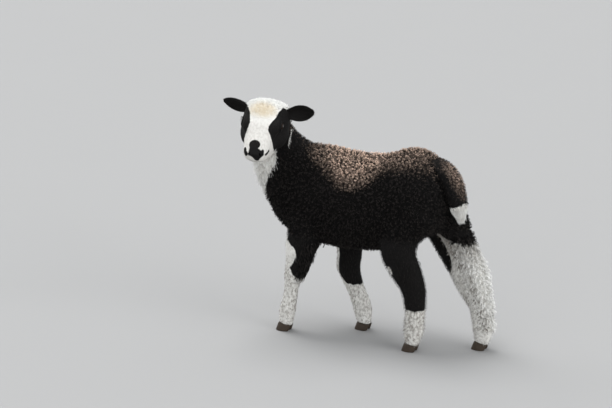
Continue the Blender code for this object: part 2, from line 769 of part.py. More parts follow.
def coronet(foot, group):
    """What is taken off the end of a leg: all that lies below the top of its hoof."""
    x, y = FEET[foot]
    bm = bmesh.new()
    bmesh.ops.create_cube(bm, size=1.0)
    for v in bm.verts:
        v.co = Vector((v.co.x * 0.08, v.co.y * 0.07, v.co.z))
        v.co.z = coronet_height(v.co.x) if v.co.z > 0 else -0.02
        v.co += Vector((x, y, 0))
    return mesh_object("coronet", bm, group)


def coronet_height(ahead):
    """Height of the hoof's top, which falls from the toe at -X to the heel."""
    slope = (CLAW_TOE_HEIGHT - CLAW_HEEL_HEIGHT) / CLAW_LENGTH
    return (CLAW_TOE_HEIGHT + CLAW_HEEL_HEIGHT) / 2 - slope * ahead


def claw(foot, outer, group, sides=12):
    """One of a foot's two claws: flat sole, rounded toe, and walls that lean to the coronet."""
    x, y = FEET[foot]
    side = (1 if outer else -1) * (1 if y > 0 else -1)
    levels = ((0.0, 0.93), (0.0012, 1.0), (0.5, 1.0), (1.0, 0.94))
    rings = []
    for height, size in levels:
        ring = []
        for k in range(sides):
            turn = 2 * math.pi * k / sides
            along, across = math.cos(turn), math.sin(turn)
            toe = max(0.0, along)
            px = -along * CLAW_LENGTH / 2 * size
            py = across * CLAW_WIDTH / 2 * size * (1 - 0.22 * toe**2)
            py += (CLAW_WIDTH + CLAW_CLEFT) / 2 * side
            top = coronet_height(px) - GAP
            z = top * height if height > 0.01 else height
            lean = CLAW_TOE_LEAN * (z / CLAW_TOE_HEIGHT)
            px += lean
            if height == 1.0:
                z = coronet_height(px) - GAP
            ring.append(Vector((x - lean_middle() + px, y + py, z)))
        rings.append(ring)
    bm = bmesh.new()
    rows = [[bm.verts.new(p) for p in ring] for ring in rings]
    for near, far in zip(rows, rows[1:]):
        for i in range(sides):
            j = (i + 1) % sides
            bm.faces.new((near[i], near[j], far[j], far[i]))
    bm.faces.new(rows[0][::-1])
    bm.faces.new(rows[-1])
    where = "outer" if outer else "inner"
    return mesh_object(f"hoof_{foot}_{where}", bm, group)


def lean_middle():
    """Half of the toe's lean, which sets the foot's middle over its sole."""
    return CLAW_TOE_LEAN / 2


def islands(mesh):
    """For each face, the number of the closed surface that it is part of."""
    faces, loops = len(mesh.polygons), len(mesh.loops)
    sizes = np.empty(faces, int)
    mesh.polygons.foreach_get("loop_total", sizes)
    face = np.repeat(np.arange(faces), sizes)
    edge = np.empty(loops, int)
    mesh.loops.foreach_get("edge_index", edge)
    label = np.arange(faces)
    while True:
        least = np.full(len(mesh.edges), faces)
        np.minimum.at(least, edge, label[face])
        lower = label.copy()
        np.minimum.at(lower, face, least[edge])
        lower = lower[lower]
        if (lower == label).all():
            return label
        label = lower


def parted(whole, places, group):
    """A named object for each closed surface that lies nearest a named place."""
    whole.name = "whole"
    label = islands(whole.data)
    middles = np.empty(len(label) * 3)
    whole.data.polygons.foreach_get("center", middles)
    middles = middles.reshape(-1, 3)
    small = np.bincount(label, minlength=len(label))[label] < LEAST_FACES
    for name, place in places.items():
        away = np.linalg.norm(middles - place, axis=1)
        away[small] = np.inf
        chosen = label[away.argmin()]
        bm = bmesh.new()
        bm.from_mesh(whole.data)
        others = [f for f in bm.faces if label[f.index] != chosen]
        bmesh.ops.delete(bm, geom=others, context="FACES")
        mesh = bpy.data.meshes.new(name)
        bm.to_mesh(mesh)
        bm.free()
        group.objects.link(bpy.data.objects.new(name, mesh))
    bpy.data.objects.remove(whole)


def coloured(node, coat):
    """Gives a node its own material and smooth shading."""
    node.data.shade_smooth()
    node.data.set_sharp_from_angle(angle=math.radians(50))
    colour, rough, metal = COATS[coat]
    made = bpy.data.materials.new(node.name)
    made.use_nodes = True
    shader = made.node_tree.nodes["Principled BSDF"]
    shader.inputs["Base Color"].default_value = (*colour, 1)
    shader.inputs["Roughness"].default_value = rough
    shader.inputs["Metallic"].default_value = metal
    made.diffuse_color = (*colour, 1)
    node.data.materials.clear()
    node.data.materials.append(made)


def main():
    for old in list(bpy.data.objects):
        bpy.data.objects.remove(old)
    lamb = collection("lamb")
    tools = collection("tools", hidden=True)
    turned = head_matrix()
    face = head(tools)
    inside = tree_of(face)

    def bare(place):
        """Whether a place on the body's outline is clear of the head."""
        near, normal, _, _ = inside.find_nearest(Vector(place))
        return (Vector(place) - near).dot(normal) > 0.006

    outline = body(tools)
    wool = clumps_on(outline, BODY_CLUMPS, fleece, BODY_SEED, tools, keep=bare)
    sink(outline, CORE_DEPTH, fleece)
    whole = thinned(outline, BODY_FACES, tools)
    whole = joined("whole", whole, [face, *wool], "UNION", tools)
    cuts = [slab(*cut, tools) for cut in CUTS]
    neck = slab(*HEAD_CUT, tools)
    neck.data.transform(turned)
    cuts.append(neck)
    for side in ("left", "right"):
        out = EAR_POINTS[side].normalized()
        cut = slab(mirrored(EAR_ROOT, side) + out * EAR_CUT, out, 0.021, 0.021, tools)
        cut.data.transform(turned)
        cuts.append(cut)
    cuts += [coronet(foot, tools) for foot in FEET]
    tail(tools, lamb)
    cuts.append(limb("tail_room", TAIL, tools, inset=-2 * GAP))
    whole = joined("whole", whole, cuts, "DIFFERENCE", tools)
    parted(whole, PLACES, lamb)
    for side in ("left", "right"):
        eye = eyeball(side, lamb)
        eye.data.transform(turned)
    for foot in FEET:
        for outer in (True, False):
            claw(foot, outer, lamb)
    for node in lamb.objects:
        node.data.transform(Matrix.Translation(SHIFT))
        start = node.name.split("_")[0]
        coloured(node, COAT_OF.get(node.name, COAT_OF.get(start, "black_fleece")))


main()
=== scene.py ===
"""Looks of a life-size lamb six to eight weeks old: black with white markings and curly fleece.

Metres, +Z up, the lamb facing -X with its left side towards -Y. One skin stands for the solids of
flesh, and tufts of wool and hair grow on it. Eyes and hooves are pieces of their own.
"""
import json
import math

import bmesh
import bpy
import numpy as np
from bpy.props import FloatProperty, FloatVectorProperty, IntProperty, PointerProperty
from mathutils import Matrix, Vector, noise
from mathutils.bvhtree import BVHTree

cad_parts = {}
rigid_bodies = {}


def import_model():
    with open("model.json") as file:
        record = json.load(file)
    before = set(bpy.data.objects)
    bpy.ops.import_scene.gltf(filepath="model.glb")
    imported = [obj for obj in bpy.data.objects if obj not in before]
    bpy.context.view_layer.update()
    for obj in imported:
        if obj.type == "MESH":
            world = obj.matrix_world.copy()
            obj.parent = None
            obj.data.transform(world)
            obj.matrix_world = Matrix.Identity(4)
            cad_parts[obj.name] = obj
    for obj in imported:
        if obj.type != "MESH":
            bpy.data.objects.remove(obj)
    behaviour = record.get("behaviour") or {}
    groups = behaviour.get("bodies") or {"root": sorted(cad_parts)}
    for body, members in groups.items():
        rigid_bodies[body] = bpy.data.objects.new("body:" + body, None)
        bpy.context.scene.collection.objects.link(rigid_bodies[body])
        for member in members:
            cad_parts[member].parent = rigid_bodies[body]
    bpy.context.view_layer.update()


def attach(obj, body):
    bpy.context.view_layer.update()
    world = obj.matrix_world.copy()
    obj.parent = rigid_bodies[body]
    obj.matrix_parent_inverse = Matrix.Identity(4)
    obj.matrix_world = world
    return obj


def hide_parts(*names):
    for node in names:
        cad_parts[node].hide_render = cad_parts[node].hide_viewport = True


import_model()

bl_info = {
    "name": "Lamb",
    "version": (1, 0, 0),
    "blender": (4, 5, 0),
    "location": "3D View > Sidebar > Lamb",
    "description": "Builds the skin, fleece, hair, eyes and hooves of a standing lamb",
    "category": "Object",
}

# Gap kept between pieces that touch
GAP = 0.0003
# A point of the skin this near to a form belongs to it
ON_FORM = 0.0005
# Each piece has fewer triangles than this
MOST_TRIANGLES = 200000
# How far the modelling origin lies from the middle of the finished lamb's footprint
SHIFT = Vector((0.06246, 0.04356, 0.0))

# Trunk, rump to chest: distance along X, back line, belly line, half width
TRUNK = (
    (0.172, 0.402, 0.345, 0.028),
    (0.163, 0.432, 0.318, 0.052),
    (0.145, 0.460, 0.296, 0.074),
    (0.117, 0.483, 0.280, 0.087),
    (0.083, 0.493, 0.266, 0.094),
    (0.050, 0.488, 0.246, 0.093),
    (0.010, 0.472, 0.228, 0.091),
    (-0.040, 0.464, 0.221, 0.095),
    (-0.090, 0.465, 0.218, 0.096),
    (-0.140, 0.470, 0.219, 0.092),
    (-0.185, 0.470, 0.223, 0.084),
    (-0.225, 0.455, 0.231, 0.074),
    (-0.260, 0.432, 0.246, 0.062),
    (-0.287, 0.405, 0.270, 0.046),
    (-0.305, 0.375, 0.302, 0.024),
)
TRUNK_NARROWING = 0.16

# Neck, tail and legs: centre X, Y, Z, half width across, half width fore and aft
NECK = (
    (-0.190, 0.000, 0.360, 0.074, 0.098),
    (-0.237, 0.000, 0.396, 0.068, 0.086),
    (-0.274, -0.006, 0.436, 0.061, 0.072),
    (-0.292, -0.018, 0.478, 0.055, 0.060),
    (-0.295, -0.036, 0.512, 0.049, 0.052),
    (-0.291, -0.056, 0.532, 0.038, 0.040),
)
TAIL = (
    (0.122, 0.000, 0.460, 0.026, 0.016),
    (0.145, 0.000, 0.449, 0.034, 0.023),
    (0.168, 0.000, 0.424, 0.037, 0.026),
    (0.180, 0.000, 0.394, 0.036, 0.026),
    (0.189, 0.000, 0.366, 0.031, 0.023),
    (0.195, 0.000, 0.343, 0.022, 0.017),
    (0.197, 0.000, 0.328, 0.012, 0.010),
)
FORELEG_LEFT = (
    (-0.172, -0.052, 0.305, 0.036, 0.052),
    (-0.186, -0.063, 0.258, 0.034, 0.046),
    (-0.194, -0.068, 0.226, 0.031, 0.040),
    (-0.199, -0.067, 0.197, 0.027, 0.034),
    (-0.209, -0.064, 0.165, 0.0245, 0.028),
    (-0.216, -0.062, 0.146, 0.0235, 0.0245),
    (-0.220, -0.061, 0.128, 0.0195, 0.0205),
    (-0.225, -0.059, 0.100, 0.0180, 0.0188),
    (-0.231, -0.057, 0.072, 0.0190, 0.0198),
    (-0.236, -0.056, 0.050, 0.0210, 0.0220),
    (-0.239, -0.055, 0.030, 0.0190, 0.0200),
    (-0.241, -0.055, 0.008, 0.0160, 0.0170),
)
FORELEG_RIGHT = (
    (-0.125, 0.050, 0.305, 0.036, 0.050),
    (-0.128, 0.058, 0.258, 0.034, 0.043),
    (-0.126, 0.059, 0.220, 0.031, 0.037),
    (-0.122, 0.056, 0.181, 0.028, 0.032),
    (-0.124, 0.053, 0.154, 0.0270, 0.0320),
    (-0.117, 0.051, 0.134, 0.0240, 0.0280),
    (-0.104, 0.048, 0.106, 0.0210, 0.0240),
    (-0.090, 0.044, 0.080, 0.0205, 0.0235),
    (-0.078, 0.040, 0.054, 0.0220, 0.0250),
    (-0.073, 0.037, 0.030, 0.0200, 0.0215),
    (-0.070, 0.037, 0.008, 0.0160, 0.0170),
)
HINDLEG_LEFT = (
    (0.108, -0.050, 0.365, 0.044, 0.066),
    (0.080, -0.057, 0.310, 0.042, 0.055),
    (0.063, -0.062, 0.268, 0.038, 0.046),
    (0.067, -0.064, 0.238, 0.034, 0.043),
    (0.081, -0.060, 0.206, 0.029, 0.040),
    (0.096, -0.056, 0.174, 0.026, 0.0345),
    (0.103, -0.054, 0.146, 0.0245, 0.0300),
    (0.105, -0.053, 0.106, 0.0225, 0.0260),
    (0.103, -0.051, 0.070, 0.0225, 0.0250),
    (0.101, -0.050, 0.050, 0.0235, 0.0255),
    (0.098, -0.050, 0.030, 0.0200, 0.0210),
    (0.096, -0.050, 0.008, 0.0165, 0.0175),
)
HINDLEG_RIGHT = (
    (0.114, 0.048, 0.365, 0.044, 0.060),
    (0.129, 0.055, 0.310, 0.044, 0.062),
    (0.147, 0.058, 0.268, 0.041, 0.058),
    (0.160, 0.056, 0.238, 0.037, 0.052),
    (0.181, 0.053, 0.209, 0.033, 0.050),
    (0.199, 0.050, 0.181, 0.030, 0.0480),
    (0.214, 0.047, 0.148, 0.0275, 0.0395),
    (0.233, 0.042, 0.108, 0.0240, 0.0275),
    (0.240, 0.039, 0.074, 0.0230, 0.0250),
    (0.244, 0.037, 0.050, 0.0235, 0.0255),
    (0.243, 0.036, 0.030, 0.0200, 0.0210),
    (0.241, 0.036, 0.008, 0.0165, 0.0175),
)

# Wool of the throat, from below the jaw to the chest
BIB = (
    (-0.291, -0.048, 0.452, 0.038, 0.040),
    (-0.290, -0.044, 0.415, 0.041, 0.043),
    (-0.279, -0.038, 0.378, 0.041, 0.043),
    (-0.262, -0.032, 0.342, 0.040, 0.042),
    (-0.242, -0.026, 0.312, 0.036, 0.038),
)

# Head: where it sits and how it is turned
HEAD_PLACE = Vector((-0.293, -0.030, 0.557))
HEAD_YAW, HEAD_PITCH, HEAD_ROLL = (math.radians(a) for a in (12.8, 27.0, -5.0))
# From the back of the skull to the lips: distance, crown, chin, half width, widest level
SKULL = (
    (-0.016, -0.006, -0.040, 0.028, -0.020),
    (0.000, 0.014, -0.048, 0.042, -0.014),
    (0.022, 0.041, -0.054, 0.053, -0.008),
    (0.045, 0.056, -0.056, 0.057, -0.010),
    (0.068, 0.053, -0.055, 0.056, -0.012),
    (0.088, 0.041, -0.052, 0.050, -0.014),
    (0.108, 0.032, -0.048, 0.0425, -0.014),
    (0.128, 0.025, -0.043, 0.037, -0.013),
    (0.146, 0.019, -0.039, 0.0335, -0.012),
    (0.160, 0.013, -0.035, 0.031, -0.011),
    (0.171, 0.005, -0.029, 0.026, -0.010),
    (0.178, -0.003, -0.021, 0.016, -0.011),
)
# How square the head is in section: 1 is an oval, less is squarer
SKULL_SQUARENESS = 0.84
# Rounded forms laid on each side of the skull: place and radii along, across and up
HEAD_FORMS = (
    ((0.087, 0.0340, 0.019), (0.030, 0.0150, 0.018)),
    ((0.068, 0.031, -0.023), (0.046, 0.0285, 0.033)),
    ((0.115, 0.020, -0.026), (0.045, 0.018, 0.018)),
    ((0.158, 0.012, -0.012), (0.018, 0.018, 0.021)),
)
EYE_PLACE = Vector((0.087, 0.0468, 0.019))
EYE_FACING = Vector((0.30, 0.94, 0.12))
EYE_RADIUS = 0.0115
EYE_DEPTH = 0.0077
LID_WIDTH, LID_HEIGHT, LID_THICKNESS = 0.0118, 0.0090, 0.0021
# Shares of that thickness: of the upper lid, of the lower one, and of the breadth of both
UPPER_LID, LOWER_LID, LID_BREADTH = 1.12, 0.92, 1.15
# Corners of the lids: the share that they are drawn out by, how far the front one drops, and
# the share of that which the back one rises
LID_CORNER_OUT, LID_CORNER_DOWN, LID_BACK_CORNER_UP = 0.10, 0.0012, 0.4
NOSTRIL_PLACE = Vector((0.171, 0.0125, -0.002))
NOSTRIL_RADII = Vector((0.007, 0.0022, 0.0048))
# How the nostril slants to the side and upwards, in degrees
NOSTRIL_TURN, NOSTRIL_TILT = 28, -24
# The line of the mouth on the left side: distance along the head, across, up
MOUTH = (
    (0.1775, 0.000, -0.0210),
    (0.1760, 0.010, -0.0215),
    (0.1700, 0.020, -0.0225),
    (0.1600, 0.0270, -0.0235),
    (0.1500, 0.0290, -0.0235),
    (0.1400, 0.0305, -0.0210),
)
MOUTH_GROOVE = 0.00105

# Ears: root on the left side of the head, the way they point, and their leaf
EAR_ROOT = Vector((0.036, 0.042, 0.011))
EAR_POINTS = {"left": Vector((-0.20, 0.97, 0.08)), "right": Vector((-0.20, -0.95, 0.10))}
EAR_CUP_FACES = {"left": Vector((0.93, 0.10, 0.22)), "right": Vector((0.93, -0.10, -0.12))}
# Along the ear: distance, half width, depth of the cup, thickness
EAR_LEAF = (
    (0.000, 0.0120, 0.0110, 0.0120),
    (0.012, 0.0150, 0.0125, 0.0090),
    (0.026, 0.0205, 0.0130, 0.0065),
    (0.040, 0.0220, 0.0120, 0.0055),
    (0.053, 0.0190, 0.0090, 0.0050),
    (0.064, 0.0120, 0.0050, 0.0042),
    (0.071, 0.0045, 0.0018, 0.0030),
)
# The ear's thickness at its edges, and how far its back lies inside that leaf
EAR_EDGE, EAR_SUNK = 0.0006, 0.0005

# Hooves: each claw's length, width and height, and the slope of the coronet
CLAW_LENGTH, CLAW_WIDTH = 0.034, 0.0150
CLAW_TOE_HEIGHT, CLAW_HEEL_HEIGHT = 0.026, 0.017
CLAW_CLEFT = 0.0022
CLAW_TOE_LEAN = 0.009
# Rings of a claw with their size: from the sole up in metres, then in shares of its height
CLAW_SOLE = ((0.0, 0.90), (0.0006, 0.965), (0.0018, 0.995))
CLAW_WALL = ((0.25, 1.0), (0.5, 0.995), (0.75, 0.975), (0.93, 0.95), (1.0, 0.90))
# The inner wall's share of the outer one's breadth, and the share that the toe is narrower
CLAW_INNER, CLAW_TOE_NARROWING = 0.93, 0.22
# Rings above this share of the height are levelled with the coronet once more, after the lean
CLAW_LEVELLED = 0.9
# What a coronet cuts off a leg: its length, its width, and how far it reaches below the floor
CORONET_CUT = (0.08, 0.07, 0.02)
# Where each foot's claws are centred
FEET = {
    "fore_left": (-0.243, -0.0550),
    "fore_right": (-0.073, 0.0370),
    "hind_left": (0.094, -0.0500),
    "hind_right": (0.239, 0.0360),
}
LEGS = {
    "foreleg_left": FORELEG_LEFT,
    "foreleg_right": FORELEG_RIGHT,
    "hindleg_left": HINDLEG_LEFT,
    "hindleg_right": HINDLEG_RIGHT,
}

# How far the skin lies under the tips: fleece, short hair, and their ends on the legs
FLEECE_DEPTH = 0.0078
HAIR_DEPTH = 0.0016
FACE_HAIR_DEPTH = HAIR_DEPTH * 0.6
FLEECE_ENDS = {"foreleg": 0.232, "hindleg": 0.262}
FLEECE_FADES = 0.034
LEG_REACH = (0.040, 0.060)
GROIN = (Vector((0.110, 0.0, 0.268)), Vector((0.065, 0.034, 0.045)))
# Shares of the fleece's depth on the tail and the poll
TAIL_WOOL, POLL_WOOL = 0.60, 0.42
# At the tail's end: how deep the core lies, and how far up that and the wool's depth change
TAIL_END_DEPTH, TAIL_END_FADES, TAIL_WOOL_FADES = 0.0045, 0.028, 0.018

# The grids that melt the forms together, rounds that fill creases, and rounds that even
BODY_MELT = (0.0072, 1, 18)
HEAD_MELT = (0.0031, 6, 150)

# Where each piece of coat grows: the number that its faces carry
REGIONS = {
    name: number
    for number, name in enumerate(
        ("bare", "neck", "bib", "shoulders_left", "shoulders_right", "ribs_left", "ribs_right",
         "rump_left", "rump_right", "tail", "tail_tip", "poll", "face", "ears", "forelegs",
         "hindleg_left", "hindleg_right")
    )
}

# The camera: azimuth and elevation in degrees, distance, scale at the aim, and the aim
VIEW_ANGLES = (27.0, 17.0)
VIEW_DISTANCE = 6.0
METRES_A_PIXEL = 0.0024
VIEW_AIM = (-0.17564, -0.07468, 0.33738)
PICTURE_WIDTH, SENSOR_WIDTH = 612, 36.0

# The lights: place that each shines from, power, and how wide it looks in radians
LIGHTS = (
    ("key", (-0.8, 0.3, 3.0), 2.15, 0.6),
    ("rim_left", (-2.6, 0.7, 1.4), 0.9, 0.9),
    ("rim_right", (2.6, -0.4, 1.3), 1.4, 0.7),
    ("fill", (0.2, -3.0, 1.2), 0.50, 0.9),
)
LIGHTS_AIM = Vector((0, 0, 0.3))
SKY_COLOUR, SKY_POWER = (0.96, 0.98, 1.0, 1), 0.78
# Half the floor's width, and the colour of its faint patches
FLOOR_REACH, FLOOR_PATCHES = 30.0, (0.31, 0.31, 0.31, 1)


def eased(value, low, high):
    """0 below one limit, 1 above the other, and a smooth step between."""
    t = np.clip((np.asarray(value, float) - low) / (high - low), 0.0, 1.0)
    return t * t * (3 - 2 * t)


def mesh_object(name, bm):
    """An object from a bmesh, with its faces pointing out."""
    bmesh.ops.recalc_face_normals(bm, faces=bm.faces)
    mesh = bpy.data.meshes.new(name)
    bm.to_mesh(mesh)
    bm.free()
    made = bpy.data.objects.new(name, mesh)
    bpy.context.scene.collection.objects.link(made)
    return made


def evaluated(source, name=None):
    """A plain mesh object of what an object's modifiers make, which takes its place."""
    bpy.context.view_layer.update()
    graph = bpy.context.evaluated_depsgraph_get()
    mesh = bpy.data.meshes.new_from_object(source.evaluated_get(graph))
    name = name or source.name
    bpy.data.objects.remove(source)
    made = bpy.data.objects.new(name, mesh)
    bpy.context.scene.collection.objects.link(made)
    return made


def curve_through(rows, steps):
    """Rows of numbers joined by a smooth curve through each of them."""
    rows = np.array(rows, float)
    ends = np.vstack([2 * rows[0] - rows[1], rows, 2 * rows[-1] - rows[-2]])
    found = []
    for a, b, c, d in zip(ends, ends[1:], ends[2:], ends[3:]):
        for t in np.arange(steps) / steps:
            bend = (2 * a - 5 * b + 4 * c - d) * t * t + (3 * b - a - 3 * c + d) * t**3
            found.append(0.5 * (2 * b + (c - a) * t + bend))
    found.append(rows[-1])
    return found


def loft(name, rings, closed=False):
    """A surface through rings of points, closed by fans at its ends or into itself."""
    bm = bmesh.new()
    rows = [[bm.verts.new(p) for p in ring] for ring in rings]
    count = len(rows[0])
    pairs = list(zip(rows, rows[1:] + rows[:1])) if closed else list(zip(rows, rows[1:]))
    for near, far in pairs:
        for i in range(count):
            j = (i + 1) % count
            bm.faces.new((near[i], near[j], far[j], far[i]))
    for row in () if closed else (rows[0], rows[-1]):
        middle = bm.verts.new(sum((v.co for v in row), Vector()) / count)
        for i in range(count):
            bm.faces.new((row[i], row[(i + 1) % count], middle))
    return mesh_object(name, bm)


def trunk(sides=24, steps=3):
    """Chest, belly and rump, a little narrower along the back than at the ribs."""
    rings = []
    for x, top, bottom, half in curve_through(TRUNK, steps):
        middle, height = (top + bottom) / 2, (top - bottom) / 2
        ring = []
        for k in range(sides):
            turn = 2 * math.pi * k / sides
            narrow = 1 - TRUNK_NARROWING * max(0.0, math.sin(turn)) ** 2
            across = half * narrow * math.cos(turn)
            ring.append(Vector((x, across, middle + height * math.sin(turn))))
        rings.append(ring)
    return loft("trunk", rings)


def limb(name, path, sides=16, steps=3, inset=lambda z: 0.0):
    """A neck, tail or leg: ovals set square to a smooth path."""
    rows = curve_through(path, steps)
    points = [Vector(row[:3]) for row in rows]
    rings = []
    for i, row in enumerate(rows):
        along = points[min(i + 1, len(points) - 1)] - points[max(i - 1, 0)]
        along.normalize()
        across = Vector((0, 1, 0))
        across = (across - along * across.dot(along)).normalized()
        fore = along.cross(across)
        less = inset(row[2])
        ring = []
        for k in range(sides):
            turn = 2 * math.pi * k / sides
            wide = across * (row[3] - less) * math.cos(turn)
            ring.append(points[i] + wide + fore * (row[4] - less) * math.sin(turn))
        rings.append(ring)
    return loft(name, rings)


def head_matrix():
    """Head axes to the lamb's: X along the head to the nose, Y to its left, Z to its crown."""
    level = math.cos(HEAD_PITCH)
    nose = Vector(
        (math.sin(HEAD_YAW) * level, -math.cos(HEAD_YAW) * level, -math.sin(HEAD_PITCH))
    )
    left = Vector((0, 0, 1)).cross(nose).normalized()
    crown = nose.cross(left)
    rolled = left * math.cos(HEAD_ROLL) + crown * math.sin(HEAD_ROLL)
    turn = Matrix((nose, rolled, nose.cross(rolled))).transposed()
    return Matrix.Translation(HEAD_PLACE) @ turn.to_4x4()


def mirrored(point, side):
    """A place on the head's left side, or its twin on the right."""
    return Vector((point[0], point[1] if side == "left" else -point[1], point[2]))


def ball(name, place, radii, sides=24, levels=14):
    """An ellipsoid at a place."""
    bm = bmesh.new()
    bmesh.ops.create_uvsphere(bm, u_segments=sides, v_segments=levels, radius=1.0)
    bmesh.ops.scale(bm, vec=Vector(radii), verts=bm.verts)
    bmesh.ops.translate(bm, vec=Vector(place), verts=bm.verts)
    return mesh_object(name, bm)


def skull(sides=24, steps=3):
    """The head's long form in head axes."""
    rings = []
    for along, crown, chin, half, level in curve_through(SKULL, steps):
        ring = []
        for k in range(sides):
            turn = 2 * math.pi * k / sides
            across, up = math.cos(turn), math.sin(turn)
            across, up = (
                math.copysign(abs(t) ** SKULL_SQUARENESS, t) for t in (across, up)
            )
            rise = (crown - level) if up > 0 else (level - chin)
            ring.append(Vector((along, half * across, level + rise * up)))
        rings.append(ring)
    return loft("skull", rings)


def points_of(mesh):
    """A mesh's vertices as rows of three."""
    flat = np.empty(len(mesh.vertices) * 3)
    mesh.vertices.foreach_get("co", flat)
    return flat.reshape(-1, 3)


def normals_of(mesh):
    """The direction each vertex faces, as rows of three."""
    flat = np.empty(len(mesh.vertices) * 3)
    mesh.vertices.foreach_get("normal", flat)
    return flat.reshape(-1, 3)


def set_points(mesh, points):
    """Moves a mesh's vertices."""
    mesh.vertices.foreach_set("co", np.ascontiguousarray(points, np.float32).ravel())
    mesh.update()


def soften(mesh, filling, evening):
    """Fills creases, then evens the surface with a push back each round, so nothing shrinks."""
    points = points_of(mesh)
    edges = np.empty(len(mesh.edges) * 2, int)
    mesh.edges.foreach_get("vertices", edges)
    near, far = edges.reshape(-1, 2).T
    start, end = np.concatenate([near, far]), np.concatenate([far, near])
    count = np.bincount(start, minlength=len(points))[:, None]
    for factor in (0.5,) * filling + (0.55, -0.57) * evening:
        total = np.stack(
            [np.bincount(start, points[end, i], len(points)) for i in range(3)], axis=1
        )
        points += factor * (total / count - points)
    set_points(mesh, points)


def melt(name, pieces, grid, filling, evening):
    """One surface round several closed ones, with soft creases."""
    bm = bmesh.new()
    for piece in pieces:
        bm.from_mesh(piece.data)
        bpy.data.objects.remove(piece)
    made = mesh_object(name, bm)
    net = made.modifiers.new("Melt", "REMESH")
    net.mode = "VOXEL"
    net.voxel_size = grid
    made = evaluated(made)
    soften(made.data, filling, evening)
    return made


def subdivided(source):
    """The same surface with each face split into four."""
    finer = source.modifiers.new("Finer", "SUBSURF")
    finer.levels = finer.render_levels = 1
    return evaluated(source)


def tree_of(source):
    """What finds the nearest place on a surface."""
    bm = bmesh.new()
    bm.from_mesh(source.data)
    found = BVHTree.FromBMesh(bm)
    bm.free()
    return found


def leg_axis(name, height):
    """The middle line of a leg at each height, as X and Y."""
    rows = np.array(LEGS[name])[::-1]
    return np.interp(height, rows[:, 2], rows[:, 0]), np.interp(height, rows[:, 2], rows[:, 1])


def fleece(points):
    """How much of the full fleece grows at places on the body: 0 is short hair, 1 is all."""
    least = np.ones(len(points))
    for name in LEGS:
        x, y = leg_axis(name, points[:, 2])
        away = np.hypot(points[:, 0] - x, points[:, 1] - y)
        low = FLEECE_ENDS[name.split("_")[0]]
        grown = eased(points[:, 2], low, low + FLEECE_FADES)
        least = np.minimum(least, np.maximum(grown, eased(away, *LEG_REACH)))
    middle, half = GROIN
    inside = np.linalg.norm((points - np.array(middle)) / np.array(half), axis=1)
    return least * eased(inside, 0.8, 1.2)


def poll(places):
    """How much wool grows at places on the head, in head axes."""
    back = eased(places[:, 0], -0.03, -0.01) * (1 - eased(places[:, 0], 0.050, 0.064))
    side = 1 - eased(abs(places[:, 1]), 0.034, 0.046)
    return back * side * eased(places[:, 2], 0.016, 0.028)


def sink(source, depths):
    """Lowers a surface along its own normals, by a depth at each vertex."""
    points = points_of(source.data)
    set_points(source.data, points - normals_of(source.data) * depths[:, None])


def joined(name, base, pieces, operation):
    """A Boolean of an object with a whole collection of others, which are then removed."""
    others = bpy.data.collections.new(name + "_pieces")
    bpy.context.scene.collection.children.link(others)
    for piece in pieces:
        bpy.context.scene.collection.objects.unlink(piece)
        others.objects.link(piece)
    step = base.modifiers.new(operation, "BOOLEAN")
    step.operation = operation
    step.solver = "MANIFOLD"
    step.operand_type = "COLLECTION"
    step.collection = others
    made = evaluated(base, name)
    for piece in list(others.objects):
        bpy.data.objects.remove(piece)
    bpy.data.collections.remove(others)
    return made


def eye_frame(side):
    """Axes of one eye in the head's: X across the lids, Y up, Z out of the eye."""
    out = mirrored(EYE_FACING, side).normalized()
    across = Vector((0, 0, 1)).cross(out).normalized()
    return Matrix((across, out.cross(across), out)).transposed()


def eye_place(side):
    """Where the middle of one eyeball lies, with its axes."""
    facing = mirrored(EYE_FACING, side).normalized()
    centre = mirrored(EYE_PLACE, side) - facing * EYE_DEPTH
    return Matrix.Translation(centre) @ eye_frame(side).to_4x4()


def eyeball(name, side, extra=0.0, sides=40, levels=24):
    """One eye, set as deep as the real one."""
    made = ball(name, (0, 0, 0), (EYE_RADIUS + extra,) * 3, sides, levels)
    made.data.transform(eye_place(side))
    return made


def lids(side, face, steps=44, sides=12):
    """The two lids as one almond ring that lies on the face round the eye."""
    turn = eye_frame(side)
    rings = []
    for i in range(steps):
        angle = 2 * math.pi * i / steps
        out = Vector((math.cos(angle), math.sin(angle), 0))
        # The corners are drawn out to points, the front one lower
        corner = abs(out.x) ** 5
        wide = 1 + LID_CORNER_OUT * corner
        rim = Vector((LID_WIDTH * out.x * wide, LID_HEIGHT * out.y, 0))
        rim.y -= LID_CORNER_DOWN * corner * (1 if out.x > 0 else -LID_BACK_CORNER_UP)
        rim, normal, _, _ = face.find_nearest(mirrored(EYE_PLACE, side) + turn @ rim)
        out = turn @ out
        thick = UPPER_LID if math.sin(angle) > 0 else LOWER_LID
        ring = []
        for k in range(sides):
            round_angle = 2 * math.pi * k / sides
            flat, rise = out * math.cos(round_angle), normal * math.sin(round_angle)
            ring.append(rim + (flat * LID_BREADTH + rise * thick) * LID_THICKNESS)
        rings.append(ring)
    return loft("lids", rings, closed=True)


def tube(name, points, radius, sides=10):
    """A round rod along points, with closed ends."""
    rings = []
    for i, point in enumerate(points):
        along = (points[min(i + 1, len(points) - 1)] - points[max(i - 1, 0)]).normalized()
        across = along.cross(Vector((0, 0, 1))).normalized()
        up = across.cross(along)
        ring = []
        for k in range(sides):
            turn = 2 * math.pi * k / sides
            ring.append(point + (across * math.cos(turn) + up * math.sin(turn)) * radius)
        rings.append(ring)
    return loft(name, rings)


def mouth_line():
    """The groove between the lips, from corner to corner."""
    left = [Vector(p) for p in curve_through(MOUTH, 5)]
    right = [Vector((p.x, -p.y, p.z)) for p in left[1:]]
    return tube("mouth", right[::-1] + left, MOUTH_GROOVE)


